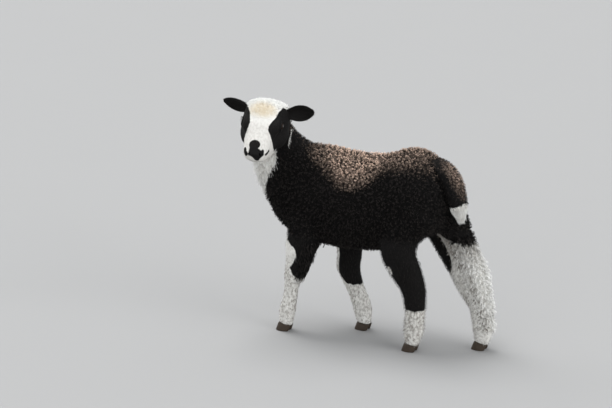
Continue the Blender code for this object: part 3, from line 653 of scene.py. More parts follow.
def nostril(side):
    """A slanting slit that curls up at its back."""
    made = ball("nostril", (0, 0, 0), NOSTRIL_RADII)
    lean = math.radians(NOSTRIL_TURN if side == "left" else -NOSTRIL_TURN)
    turn = Matrix.Rotation(lean, 4, "Z") @ Matrix.Rotation(math.radians(NOSTRIL_TILT), 4, "Y")
    made.data.transform(Matrix.Translation(mirrored(NOSTRIL_PLACE, side)) @ turn)
    return made


def ear(side, across=16):
    """A cupped leaf with a round root and a blunt tip."""
    out = EAR_POINTS[side].normalized()
    cup = EAR_CUP_FACES[side]
    cup = (cup - out * cup.dot(out)).normalized()
    wide = out.cross(cup)
    root = mirrored(EAR_ROOT, side)
    rings = []
    for along, half, depth, thick in curve_through(EAR_LEAF, 4):
        back, front = [], []
        for k in range(across + 1):
            t = -1 + 2 * k / across
            bow = depth * (1 - t * t)
            round_off = math.sqrt(max(0.0, 1 - abs(t) ** 3))
            shell = (thick - 2 * EAR_EDGE) * round_off + EAR_EDGE
            here = root + out * along + wide * (half * t)
            back.append(here - cup * (bow - EAR_SUNK))
            front.append(here - cup * (bow - EAR_SUNK - shell))
        rings.append(back + front[::-1])
    return loft("ear_" + side, rings)


def head():
    """Skull, brows, cheeks, muzzle, lids, mouth and nostrils in one piece, in head axes."""
    forms = [skull()]
    for place, radii in HEAD_FORMS:
        for side in ("left", "right"):
            forms.append(ball("form", mirrored(place, side), radii))
    whole = melt("head", forms, *HEAD_MELT)
    face = tree_of(whole)
    wool = poll(points_of(whole.data))
    sink(whole, FACE_HAIR_DEPTH + (FLEECE_DEPTH * POLL_WOOL - FACE_HAIR_DEPTH) * wool)
    whole = subdivided(whole)
    for stroke in STROKES:
        for side in ("left", "right"):
            carve(whole.data, stroke, side)
    added = [lids(side, face) for side in ("left", "right")]
    added += [ear(side) for side in ("left", "right")]
    whole = joined("head", whole, added, "UNION")
    taken = [eyeball("socket", side, GAP) for side in ("left", "right")]
    taken += [nostril(side) for side in ("left", "right")]
    taken.append(mouth_line())
    return joined("head", whole, taken, "DIFFERENCE")


def carve(mesh, stroke, side):
    """Raises or lowers the head along a soft line, as a modelling tool does."""
    path, width, height = stroke
    line = np.array([mirrored(p, side) for p in curve_through(path, 6)])
    points = points_of(mesh)
    near = np.min([np.linalg.norm(points - p, axis=1) for p in line], axis=0)
    amount = height * np.exp(-((near / width) ** 2))
    set_points(mesh, points + normals_of(mesh) * amount[:, None])


# Soft lines on the head's left side: their points, half width, and how far they stand out
STROKES = (
    # The crease under the brow, in front of the eye
    (((0.100, 0.043, 0.010), (0.112, 0.038, 0.004), (0.122, 0.035, -0.002)), 0.0045, -0.0016),
    # The brow over the eye
    (((0.076, 0.043, 0.036), (0.090, 0.042, 0.036), (0.101, 0.038, 0.030)), 0.0060, 0.0014),
    # The hollow of the temple, behind the eye
    (((0.060, 0.052, 0.022), (0.054, 0.050, 0.030)), 0.0090, -0.0014),
    # The cheek muscle's front edge
    (((0.100, 0.044, -0.012), (0.098, 0.042, -0.030), (0.092, 0.036, -0.044)), 0.0060, 0.0012),
    # The wing of the nostril
    (((0.176, 0.015, 0.002), (0.171, 0.020, 0.003), (0.165, 0.021, -0.002)), 0.0035, 0.0011),
    # The upper lip over the mouth
    (((0.176, 0.010, -0.017), (0.168, 0.020, -0.018), (0.156, 0.0270, -0.018)), 0.0035, 0.0010),
)


def body():
    """Trunk, neck and legs melted together, sunk by the depth of the coat."""
    forms = [trunk(), limb("neck", NECK), limb("bib", BIB)]
    for name, path in LEGS.items():
        forms.append(limb(name, path))
    made = melt("body", forms, *BODY_MELT)
    wool = fleece(points_of(made.data))
    sink(made, HAIR_DEPTH + (FLEECE_DEPTH - HAIR_DEPTH) * wool)
    made = subdivided(made)
    return joined("body", made, [coronet(foot) for foot in FEET], "DIFFERENCE")


def coronet_height(ahead):
    """Height of the hoof's top, which falls from the toe at -X to the heel."""
    slope = (CLAW_TOE_HEIGHT - CLAW_HEEL_HEIGHT) / CLAW_LENGTH
    return (CLAW_TOE_HEIGHT + CLAW_HEEL_HEIGHT) / 2 - slope * ahead


def coronet(foot):
    """What is taken off the end of a leg: all that lies below the top of its hoof."""
    x, y = FEET[foot]
    length, width, below = CORONET_CUT
    bm = bmesh.new()
    bmesh.ops.create_cube(bm, size=1.0)
    for v in bm.verts:
        v.co = Vector((v.co.x * length, v.co.y * width, v.co.z))
        v.co.z = coronet_height(v.co.x) if v.co.z > 0 else -below
        v.co += Vector((x, y, 0))
    return mesh_object("coronet", bm)


def tail():
    """The tail's core, under its wool."""
    tip = TAIL[-1][2]

    def inset(height):
        """How far the core lies under the tips at a height."""
        wool = FLEECE_DEPTH * TAIL_WOOL * float(eased(height, tip, tip + TAIL_WOOL_FADES))
        return wool + TAIL_END_DEPTH * float(1 - eased(height, tip, tip + TAIL_END_FADES))

    return limb("tail", TAIL, sides=20, steps=6, inset=inset)


def along_rows(value, rows):
    """One measure read from rows of another, such as an edge's X at each height."""
    rows = np.array(sorted(rows))
    return np.interp(value, rows[:, 0], rows[:, 1])


def spot(places, middle, radii, edge=0.12):
    """1 inside an ellipsoid, 0 outside, with a soft edge."""
    away = np.linalg.norm((places - np.array(middle)) / np.array(radii), axis=1)
    return 1 - eased(away, 1 - edge, 1 + edge)


def within(places, outline, soft=0.0014):
    """1 inside an outline of the face seen from ahead, 0 outside, with a soft edge."""
    flat, corners = places[:, 1:], np.array(outline)
    away = np.full(len(flat), np.inf)
    inside = np.zeros(len(flat), bool)
    for a, b in zip(corners, np.roll(corners, -1, axis=0)):
        t = np.clip(((flat - a) @ (b - a)) / ((b - a) @ (b - a)), 0, 1)[:, None]
        away = np.minimum(away, np.linalg.norm(flat - (a + t * (b - a)), axis=1))
        if a[1] != b[1]:
            meets = a[0] + (flat[:, 1] - a[1]) * (b[0] - a[0]) / (b[1] - a[1])
            inside ^= ((a[1] > flat[:, 1]) != (b[1] > flat[:, 1])) & (flat[:, 0] < meets)
    return eased(np.where(inside, away, -away), -soft, soft)


# The black patches round the eyes, in head axes: X along the head and the patch's inner edge
LEFT_PATCH = ((0.010, 0.060), (0.022, 0.0575), (0.031, 0.0500), (0.044, 0.0410), (0.0645, 0.0355),
              (0.0806, 0.0315), (0.0935, 0.0241), (0.106, 0.0195), (0.114, 0.0208),
              (0.121, 0.0270), (0.128, 0.0314), (0.1323, 0.0356), (0.150, 0.060))
RIGHT_PATCH = ((0.010, 0.060), (0.022, 0.0560), (0.0333, 0.0492), (0.0583, 0.0401),
               (0.0751, 0.0323), (0.0881, 0.0286), (0.1008, 0.0268), (0.110, 0.0281),
               (0.1166, 0.0305), (0.122, 0.0360), (0.150, 0.060))
# The front of each patch: level in the head and how far along it reaches
LEFT_FRONT = ((-0.060, 0.112), (-0.045, 0.119), (-0.030, 0.126), (-0.006, 0.1325),
              (0.010, 0.129), (0.030, 0.127))
RIGHT_FRONT = ((-0.060, 0.088), (-0.045, 0.098), (-0.030, 0.108), (-0.012, 0.116),
               (0.006, 0.120), (0.020, 0.121), (0.030, 0.121))
# Half the width over which the patches' edges fade, and that of the marks beside the nose
PATCH_SOFT, MARK_SOFT = 0.0026, 0.0009


def head_white(places):
    """How white the head's hair is and how bare the nose is, in head axes."""
    along, across, up = places.T
    patches = []
    for outward, patch, front in ((across, LEFT_PATCH, LEFT_FRONT),
                                  (-across, RIGHT_PATCH, RIGHT_FRONT)):
        inner, ahead = along_rows(along, patch), along_rows(up, front)
        patches.append(eased(outward, inner - PATCH_SOFT, inner + PATCH_SOFT)
                       * (1 - eased(along, ahead - PATCH_SOFT, ahead + PATCH_SOFT)))
    black = np.maximum(*patches)
    # The underside of the jaw is white
    black *= 1 - (1 - eased(abs(across), 0.020, 0.028)) * (1 - eased(up, -0.046, -0.036))
    nose = within(places, curve_through(NOSE_OUTLINE, 5)) * (along > 0.155)
    for side in ("left", "right"):
        nose = np.maximum(nose, spot(places, mirrored(NOSTRIL_PLACE, side), NOSTRIL_RIM))
    black = np.maximum(black, np.maximum(nose, spot(places, *NOSE_SPOT)))
    for line, half in LIP_MARKS:
        away = line_distance(line, places)
        black = np.maximum(black, 1 - eased(away, half - MARK_SOFT, half + MARK_SOFT))
    return 1 - black, nose


# The bare nose from ahead, as across and up, and the round black spot over it
NOSE_OUTLINE = (
    (-0.0140, 0.0040), (-0.0125, 0.0095), (-0.0047, 0.0110), (0.0040, 0.0105), (0.0090, 0.0088),
    (0.0102, 0.0086), (0.0124, 0.0072), (0.0152, 0.0062), (0.0182, 0.0070), (0.0215, 0.0040),
    (0.0212, -0.0030), (0.0165, -0.0068), (0.0132, -0.0105), (0.0105, -0.0150),
    (0.0049, -0.0171), (0.0012, -0.0141), (-0.0022, -0.0095), (-0.0065, -0.0060),
    (-0.0118, -0.0048), (-0.0138, -0.0008),
)
NOSE_SPOT = ((0.1560, -0.0030, 0.0145), (0.0125, 0.0138, 0.0120), 0.14)
# Bare skin round each nostril
NOSTRIL_RIM = (0.007, 0.003, 0.005)
# Black marks beside the nose: their middle lines and half widths
LIP_MARKS = (
    (((0.1630, -0.0262, 0.0006), (0.1665, -0.0244, -0.0008), (0.1700, -0.0220, -0.0028),
      (0.1710, -0.0204, -0.0044)), 0.0060),
    (((0.1530, 0.0316, -0.0026), (0.1596, 0.0300, -0.0036), (0.1668, 0.0268, -0.0036)), 0.0029),
)

# A thin white line on the neck, close behind the left cheek
CHEEK_LINE = ((-0.2520, 0.0130, 0.5200), (-0.2490, 0.0020, 0.5110), (-0.2470, -0.0080, 0.5030),
              (-0.2450, -0.0165, 0.4945), (-0.2430, -0.0250, 0.4865), (-0.2410, -0.0330, 0.4785),
              (-0.2395, -0.0395, 0.4700), (-0.2380, -0.0460, 0.4610), (-0.2375, -0.0480, 0.4560))
# The bib: height, then the axis that its angles turn round (X, Y), and its two edges in degrees
BIB_EDGE = (
    (0.313, -0.242, -0.026, -176, -184),
    (0.331, -0.255, -0.030, -156, -188),
    (0.350, -0.266, -0.034, -134, -182),
    (0.368, -0.276, -0.036, -112, -170),
    (0.384, -0.281, -0.039, -90, -172),
    (0.398, -0.285, -0.041, -78, -174),
    (0.427, -0.290, -0.046, -32, -174),
    (0.460, -0.292, -0.048, -22, -170),
)
# X behind which no bib grows
BIB_END = -0.17
# White on the legs: heights and the X of its edge, and for the thigh X and its height
FORELEG_EDGE = ((0.120, -0.140), (0.140, -0.180), (0.145, -0.195), (0.151, -0.204),
                (0.164, -0.209), (0.174, -0.214), (0.189, -0.203), (0.207, -0.192),
                (0.228, -0.196), (0.239, -0.212), (0.252, -0.240))
HINDLEG_EDGE = ((0.178, 0.150), (0.186, 0.162), (0.204, 0.167), (0.223, 0.162), (0.243, 0.154),
                (0.266, 0.141), (0.290, 0.120))
THIGH_EDGE = ((0.100, 0.300), (0.139, 0.279), (0.153, 0.268), (0.173, 0.262), (0.189, 0.257),
              (0.204, 0.254), (0.260, 0.246))
# Heights between which the socks end, and where a small patch lies on the left thigh
FORE_LEFT_SOCK, HIND_LEFT_SOCK, HIND_RIGHT_SOCK = (0.135, 0.147), (0.103, 0.115), (0.176, 0.184)
THIGH_PATCH = ((0.050, -0.088, 0.196), (0.009, 0.012, 0.022), 0.5)
# The legs by number, in the order of LEGS; the trunk is 0
FORE_LEFT, FORE_RIGHT, HIND_LEFT, HIND_RIGHT = 1, 2, 3, 4


def body_white(points):
    """How white the coat is at places on the trunk, neck, legs and tail."""
    x, y, z = points.T
    soft = 0.006
    white = np.zeros(len(points))
    middle_x, middle_y, left, right = (
        np.interp(z, *np.array(BIB_EDGE)[:, (0, column)].T) for column in (1, 2, 3, 4)
    )
    turn = (np.degrees(np.arctan2(y - middle_y, x - middle_x)) - 90) % 360 - 270
    bib = (1 - eased(turn, left - 9, left + 9)) * eased(turn, right - 9, right + 9)
    white = np.maximum(white, bib * eased(z, 0.312, 0.326) * (x < BIB_END))
    white = np.maximum(white, 1 - eased(line_distance(CHEEK_LINE, points), 0.0008, 0.0030))
    leg = nearest_leg(points)
    low = 1 - eased(z, 0.245, 0.262)
    edge = along_rows(z, FORELEG_EDGE)
    front = 1 - eased(x, edge - soft, edge + soft)
    sock = np.maximum(front * low, 1 - eased(z, *FORE_LEFT_SOCK))
    white = np.where(leg == FORE_LEFT, sock, white)
    edge = 0.113 + 0.9 * np.clip(-0.118 - x, 0, 0.03)
    strip = (1 - eased(x, -0.142, -0.137)) * (1 - eased(z, 0.196, 0.206))
    sock = np.maximum(1 - eased(z, edge - soft, edge + soft), strip)
    white = np.where(leg == FORE_RIGHT, sock, white)
    sock = np.maximum(1 - eased(z, *HIND_LEFT_SOCK), spot(points, *THIGH_PATCH))
    white = np.where(leg == HIND_LEFT, sock, white)
    top = along_rows(x, THIGH_EDGE)
    behind = eased(x, along_rows(z, HINDLEG_EDGE) - soft, along_rows(z, HINDLEG_EDGE) + soft)
    behind = np.maximum(behind, 1 - eased(z, *HIND_RIGHT_SOCK))
    sock = (1 - eased(z, top - soft, top + soft)) * behind
    return np.where(leg == HIND_RIGHT, sock, white)


def nearest_leg(points):
    """Which leg each place belongs to, from 1 in the order of LEGS, or 0 on the trunk."""
    best = np.full(len(points), 0.085)
    leg = np.zeros(len(points), int)
    for number, name in enumerate(LEGS, 1):
        x, y = leg_axis(name, points[:, 2])
        away = np.hypot(points[:, 0] - x, points[:, 1] - y)
        closer = (away < best) & (points[:, 2] < 0.30)
        leg[closer], best[closer] = number, away[closer]
    return leg


# Where sun has bleached the tips: X and the height on the side where it is half done
SUN_EDGE = ((-0.300, 0.520), (-0.224, 0.482), (-0.198, 0.462), (-0.177, 0.449), (-0.149, 0.442),
            (-0.121, 0.426), (-0.093, 0.409), (-0.057, 0.404), (-0.027, 0.412), (-0.006, 0.428),
            (0.008, 0.444), (0.041, 0.454), (0.105, 0.457), (0.133, 0.452), (0.155, 0.440),
            (0.181, 0.424), (0.194, 0.402), (0.205, 0.380))
# How far the bleaching fades below and above that height
SUN_FADES = (0.050, 0.044)
# How strongly the tips are bleached along X: most on the saddle behind the shoulders
SUN_STRENGTH = ((-0.300, 0.30), (-0.220, 0.45), (-0.150, 0.85), (-0.090, 1.0), (-0.010, 1.0),
                (0.035, 0.75), (0.080, 0.65), (0.180, 0.60), (0.210, 0.50))


# The fawn stain on the poll, and where the poll's wool ends: along the head and how high
POLL_STAIN = ((0.0690, -0.0030, 0.050), (0.0165, 0.032, 0.040), 0.5)
POLL_FRONT, POLL_LEVEL = 0.088, 0.018
# At the back of the skull the same wool covers more: along the head and how high
NAPE_FRONT, NAPE_LEVEL = 0.030, -0.020
# The top of the tail's white tip: its height at an X, its slope, and how far it fades
TAIL_EDGE, TAIL_EDGE_AT, TAIL_EDGE_SLOPE, TAIL_EDGE_SOFT = 0.365, 0.19, 0.25, 0.006
# The depth of that edge's waves, and how many there are in a metre
TAIL_EDGE_WAVES, TAIL_EDGE_SCALE = 0.004, 130.0


def store(mesh, name, values, kind="FLOAT", domain="POINT"):
    """Writes one named attribute."""
    made = mesh.attributes.new(name, kind, domain)
    field = "vector" if kind == "FLOAT_VECTOR" else "value"
    made.data.foreach_set(field, np.ascontiguousarray(values).ravel())


def waves(points, scale):
    """Smooth random waves over the surface, from -1 to 1."""
    return np.array([noise.noise(Vector(p) * scale) for p in points])


def bleaching(points, normals, parts):
    """How far the tips are sun-bleached, most where they face up, and on the tail's back also
    painted rim light.
    """
    x, z = points[:, 0], points[:, 2]
    edge, upward = along_rows(x, SUN_EDGE), eased(normals[:, 2], -0.35, 0.45)
    below, above = SUN_FADES
    sun = upward * eased(z, edge - below, edge + above) * along_rows(x, SUN_STRENGTH)
    # The tail's back is painted lighter, bleaching and a painted rim light together
    backward = eased(normals[:, 0], 0.2, 0.9)
    sun = np.where(parts["tail"], sun * (0.5 + 0.8 * backward), sun)
    return np.where(parts["head"] | parts["ear"], 0.0, sun)


# The way the coat lies: along the trunk, what the neck adds, and along legs and tail
TRUNK_LIE, NECK_LIE = (0.70, 0.0, -0.70), (-0.55, 0.0, -0.35)
LEG_LIE, TAIL_LIE = (0.14, 0.0, -1.0), (0.25, 0.0, -1.0)


def lie_of(points, places, axes, leg, parts):
    """The way that the coat lies at each point, up the face and out along the ears."""
    x, z = points[:, 0], points[:, 2]
    lie = np.tile(TRUNK_LIE, (len(points), 1))
    lie += np.outer(1 - eased(x, -0.250, -0.190), NECK_LIE)
    lie[(leg > 0) & (z < 0.27)] = LEG_LIE
    lie[parts["tail"]] = TAIL_LIE
    side = np.sign(places[:, 1])
    up_face = np.stack([-np.ones(len(points)), 0.25 * side,
                        np.where(places[:, 2] < -0.01, -0.45, 0.05)], axis=1) @ axes.T
    lie[parts["head"]] = up_face[parts["head"]]
    for name, sign in (("left", 1), ("right", -1)):
        lie[parts["ear"] & (side == sign)] = np.array(EAR_POINTS[name]) @ axes.T
    return lie / np.linalg.norm(lie, axis=1)[:, None]


# Lengths as shares of each piece's full length: on the legs, what the right hind leg's back
# adds, at the elbow, and on the pasterns with the height that they end at
LEG_LENGTH, SHAGGY_LENGTH, ELBOW_LENGTH = 0.8, 1.0, 2.0
PASTERN_LENGTH, PASTERN_TOP = 0.6, 0.05
# What is taken off on the muzzle, near the head, and at the poll's front edge
MUZZLE_LESS, NEAR_HEAD_LESS, POLL_FRONT_LESS = 0.45, 0.35, 0.6
# The fleece's least length, how far it varies, and the number of its waves in a metre
LEAST_FLEECE, UNEVEN, UNEVEN_SCALE = 0.4, 0.12, 95.0


def lengths(points, places, leg, wool, on_poll, parts):
    """How long the coat is at each point."""
    x, z = points[:, 0], points[:, 2]
    muzzle = eased(places[:, 0], 0.10, 0.16)
    length = np.where(parts["head"], 1 - MUZZLE_LESS * muzzle, 1.0)
    behind = x - leg_axis("hindleg_right", z)[0]
    shaggy = eased(z, 0.01, 0.08) * (leg == HIND_RIGHT) * eased(behind, -0.012, 0.025)
    length = np.where(leg > 0, LEG_LENGTH + SHAGGY_LENGTH * shaggy, length)
    elbow = (leg == FORE_LEFT) & (z > 0.14) & (x > leg_axis("foreleg_left", z)[0] + 0.012)
    length = np.where(elbow, ELBOW_LENGTH, length)
    length = np.where((leg > 0) & (z < PASTERN_TOP), PASTERN_LENGTH, length)
    near_head = eased(z, 0.430, 0.490) * (x < -0.20)
    grown = np.maximum(wool, LEAST_FLEECE) * (1 + UNEVEN * waves(points, UNEVEN_SCALE))
    length = np.where(wool > 0.5, grown * (1 - NEAR_HEAD_LESS * near_head), length)
    front = eased(places[:, 0], 0.045, POLL_FRONT)
    length = np.where(parts["head"] & on_poll, 1 - POLL_FRONT_LESS * front, length)
    return np.where(parts["tail"], 1.0, length)


# Mud and painted shade between the locks of the white wool, and painted shade that greys it all
# over
HIND_SOIL_AND_SHADE, FORE_SOIL_AND_SHADE, FORE_SOIL_AND_SHADE_LESS = 1.3, 1.0, 0.6
RIGHT_HIND_SOIL_AND_SHADE, RIGHT_HIND_EDGE_SOIL_AND_SHADE = 0.75, 0.10
TRUNK_SOIL_AND_SHADE, TAIL_SOIL_AND_SHADE, FACE_SOIL_AND_SHADE = 0.25, 0.22, 0.04
FACE_PAINTED_SHADE, RIGHT_THIGH_PAINTED_SHADE, LEFT_HIND_PAINTED_SHADE, FORE_PAINTED_SHADE = 0.36, 0.50, 0.14, 0.03


def dirt_and_shade(points, places, leg, on_poll, parts):
    """Mud and painted shade between the white locks, and painted shade that greys them all over.
    """
    z, on_head = points[:, 2], parts["head"]
    behind = points[:, 0] - leg_axis("hindleg_right", z)[0]
    soil = np.where(leg > FORE_RIGHT, HIND_SOIL_AND_SHADE, FORE_SOIL_AND_SHADE - FORE_SOIL_AND_SHADE_LESS * eased(z, 0.15, 0.22))
    # The right hind leg is painted darker ahead of its back edge: painted shade as well as mud
    inner = RIGHT_HIND_SOIL_AND_SHADE * (1 - eased(behind, 0.010, 0.026)) + RIGHT_HIND_EDGE_SOIL_AND_SHADE
    soil = np.where(leg == HIND_RIGHT, inner, soil)
    soil = np.where(leg > 0, soil, TRUNK_SOIL_AND_SHADE)
    soil = np.where(on_head, np.where(on_poll, 0.0, FACE_SOIL_AND_SHADE), soil)
    soil = np.where(parts["tail"], TAIL_SOIL_AND_SHADE, soil)
    # Painted shade greys the left hind leg, the top of the right thigh, the forelegs a little, and
    # the face towards its muzzle
    dull = np.where(leg == HIND_LEFT, LEFT_HIND_PAINTED_SHADE, FORE_PAINTED_SHADE)
    dull = np.where(leg == HIND_RIGHT, RIGHT_THIGH_PAINTED_SHADE * eased(z, 0.19, 0.26), dull)
    dull = np.where(leg > 0, dull, 0.0)
    return soil, np.where(on_head, FACE_PAINTED_SHADE * eased(places[:, 0], 0.070, 0.115), dull)


def bare_skin(places, nose, on_head):
    """How thickly hair grows round nose, eyes and mouth, how bare the eye rims are, and the lips:
    bare skin with painted shade in their groove.
    """
    eyes = [np.array(eye_place(side).translation) for side in ("left", "right")]
    from_eye = np.minimum(*(np.linalg.norm(places - eye, axis=1) for eye in eyes))
    rim = 1 - eased(from_eye, EYE_RADIUS + 0.0006, EYE_RADIUS + 0.0028)
    mouth = line_distance(MOUTH, places, both=True)
    grow = (1 - eased(nose, 0.2, 0.8)) * (1 - rim) * eased(mouth, 0.0012, 0.0030)
    # Bare lip skin, with painted shade in the groove between the lips
    lips = 1 - eased(mouth, 0.0006, 0.0022)
    return (np.where(on_head, grow, 1.0), np.where(on_head, rim, 0.0),
            np.where(on_head, lips, 0.0))


# X of the borders between shoulders, ribs and rump, and the plane where the neck begins:
# a point in it as X and Z, and the way that it faces
SHOULDER_END, RIBS_END = -0.115, 0.035
NECK_START, NECK_WAY = (-0.250, 0.396), (-0.83, 0.555)


def regions(points, leg, wool, white, tail_edge, on_poll, parts):
    """The number of the piece of coat that grows at each point."""
    x, y, z = points.T
    region = np.zeros(len(points), int)
    for title, ahead in (("shoulders", x < SHOULDER_END),
                         ("ribs", (x >= SHOULDER_END) & (x < RIBS_END)),
                         ("rump", x >= RIBS_END)):
        region[ahead & (y < 0)] = REGIONS[title + "_left"]
        region[ahead & (y >= 0)] = REGIONS[title + "_right"]
    past = (x - NECK_START[0]) * NECK_WAY[0] + (z - NECK_START[1]) * NECK_WAY[1]
    region[past > 0] = REGIONS["neck"]
    short = wool < 0.5
    region[short] = REGIONS["hindleg_left"]
    region[short & (leg == HIND_RIGHT)] = REGIONS["hindleg_right"]
    region[short & (leg > 0) & (leg < HIND_LEFT)] = REGIONS["forelegs"]
    region[~short & (leg == 0) & (white > 0.5) & (x < BIB_END)] = REGIONS["bib"]
    region[parts["tail"]] = REGIONS["tail"]
    region[parts["tail"] & (z < tail_edge + 0.001)] = REGIONS["tail_tip"]
    region[parts["head"]] = REGIONS["face"]
    region[parts["head"] & on_poll] = REGIONS["poll"]
    region[parts["ear"]] = REGIONS["ears"]
    return region


def dress(mesh, parts):
    """Writes what the skin and the coat share: markings, lie, length and region."""
    points = points_of(mesh)
    turned = head_matrix()
    axes = np.array(turned.to_3x3())
    places = (points - np.array(turned.translation)) @ axes
    on_head, on_ear, on_tail = parts["head"], parts["ear"], parts["tail"]
    leg, wool = nearest_leg(points), fleece(points)
    white_head, nose = head_white(places)
    white = np.where(on_ear, 0.0, np.where(on_head, white_head, body_white(points)))
    tail_edge = TAIL_EDGE + TAIL_EDGE_SLOPE * (points[:, 0] - TAIL_EDGE_AT)
    tail_edge += TAIL_EDGE_WAVES * waves(points, TAIL_EDGE_SCALE)
    tip = 1 - eased(points[:, 2], tail_edge - TAIL_EDGE_SOFT, tail_edge + TAIL_EDGE_SOFT)
    white = np.where(on_tail, tip, white)
    on_poll = (places[:, 0] < POLL_FRONT) & (places[:, 2] > POLL_LEVEL) & (white > 0.4)
    on_poll |= (places[:, 0] < NAPE_FRONT) & (places[:, 2] > NAPE_LEVEL)
    soil, dull = dirt_and_shade(points, places, leg, on_poll, parts)
    grow, rim, lips = bare_skin(places, nose, on_head)
    clumped = np.where(leg > 0, np.maximum(wool, 0.5), wool)
    for name, values in (
        ("lips", lips), ("white", white), ("tan", spot(places, *POLL_STAIN) * on_head),
        ("sun", bleaching(points, normals_of(mesh), parts)), ("soil", soil), ("dull", dull),
        ("nose", np.where(on_head, nose, 0.0)), ("rim", rim),
        ("length", lengths(points, places, leg, wool, on_poll, parts)),
        ("wool", np.where(on_head, on_poll * 0.8, np.where(on_ear, 0.0, clumped))),
        ("grow", grow),
    ):
        store(mesh, name, values)
    store(mesh, "lie", lie_of(points, places, axes, leg, parts), "FLOAT_VECTOR")
    region = regions(points, leg, wool, white, tail_edge, on_poll, parts)
    corners = np.empty(len(mesh.polygons), int)
    mesh.polygons.foreach_get("loop_start", corners)
    first = np.empty(len(mesh.loops), int)
    mesh.loops.foreach_get("vertex_index", first)
    store(mesh, "region", region[first[corners]], "INT", "FACE")


def line_distance(line, places, both=False):
    """How far places are from a line, or on the head from it and its twin on the right."""
    if both:
        places = places * (1, 0, 1) + abs(places) * (0, 1, 0)
    best = np.full(len(places), 1.0)
    for p in curve_through(line, 8):
        best = np.minimum(best, np.linalg.norm(places - p, axis=1))
    return best


def unwrapped(made):
    """Lays the skin's own shape out flat, as the map that the coat's tufts share."""
    bpy.context.view_layer.objects.active = made
    made.select_set(True)
    bpy.ops.object.mode_set(mode="EDIT")
    bpy.ops.mesh.select_all(action="SELECT")
    bpy.ops.uv.smart_project(angle_limit=math.radians(66), island_margin=0.002)
    bpy.ops.object.mode_set(mode="OBJECT")
    made.data.uv_layers[0].name = "OFBake"


class Value:
    """One output of a node, which can be used in sums."""

    def __init__(self, maker, socket):
        self.maker, self.socket = maker, socket

    def _sum(self, operation, *terms, clamp=False):
        settings = {"operation": operation, "use_clamp": clamp}
        return self.maker.node("ShaderNodeMath", settings, dict(enumerate(terms)))

    def __add__(self, other):
        return self._sum("ADD", self, other)

    def __sub__(self, other):
        return self._sum("SUBTRACT", self, other)

    def __rsub__(self, other):
        return self._sum("SUBTRACT", other, self)

    def __mul__(self, other):
        return self._sum("MULTIPLY", self, other)

    def __pow__(self, other):
        return self._sum("POWER", self, other)

    __radd__, __rmul__ = __add__, __mul__

    def clamped(self):
        """The same value, held between 0 and 1."""
        return self._sum("ADD", self, 0.0, clamp=True)


class Maker:
    """Adds nodes to a tree."""

    def __init__(self, tree):
        self.tree = tree

    def node(self, kind, settings=None, values=None, output=0):
        """A node of a type, with its settings made first, then its sockets' values or links."""
        made = self.tree.nodes.new(kind)
        for name, setting in (settings or {}).items():
            setattr(made, name, setting)
        for name, value in (values or {}).items():
            socket = made.inputs[name]
            if isinstance(value, Value):
                self.tree.links.new(value.socket, socket)
            else:
                socket.default_value = value
        return Value(self, made.outputs[output]) if len(made.outputs) else made

    def attribute(self, name):
        """A number that the mesh carries."""
        return self.node("ShaderNodeAttribute", {"attribute_name": name}, output="Fac")

    def noise(self, scale, detail=3.0, rough=0.5, stretch=(1, 1, 1), seed=0.0):
        """Soft noise over the object's own space."""
        place = self.node("ShaderNodeTexCoord", output="Object")
        place = self.node("ShaderNodeMapping", {}, {"Vector": place, "Scale": stretch,
                                                    "Location": (seed, seed, seed)})
        return self.node("ShaderNodeTexNoise", {}, {"Vector": place, "Scale": scale,
                                                    "Detail": detail, "Roughness": rough})

    def mixed(self, factor, first, second):
        """One colour over another."""
        return self.node("ShaderNodeMix", {"data_type": "RGBA"}, {0: factor, 6: first, 7: second},
                         output=2)

    def step(self, value, low, high):
        """0 below one limit and 1 above the other."""
        return self.node("ShaderNodeMapRange", {"interpolation_type": "SMOOTHSTEP"},
                         {"Value": value, "From Min": low, "From Max": high})


def colour(values):
    """A colour with its alpha."""
    return (*values, 1.0)


def new_material(name, rough, coat=0.0):
    """A material with its shader, ready for its links."""
    made = bpy.data.materials.new(name)
    made.use_nodes = True
    shader = made.node_tree.nodes["Principled BSDF"]
    shader.inputs["Roughness"].default_value = rough
    shader.inputs["Coat Weight"].default_value = coat
    shader.inputs["Specular IOR Level"].default_value = 0.15
    return made, Maker(made.node_tree), shader


def link(maker, value, shader, name):
    """Feeds a value to one input of the shader."""
    maker.tree.links.new(value.socket, shader.inputs[name])


# Where a lock ends and the gap round it begins, from its middle, as shares of its width
LOCK_EDGE = (0.32, 0.74)
# Locks to the metre in the skin's colour, whose gaps are painted in shade, and in its bump
SKIN_LOCKS = 150.0


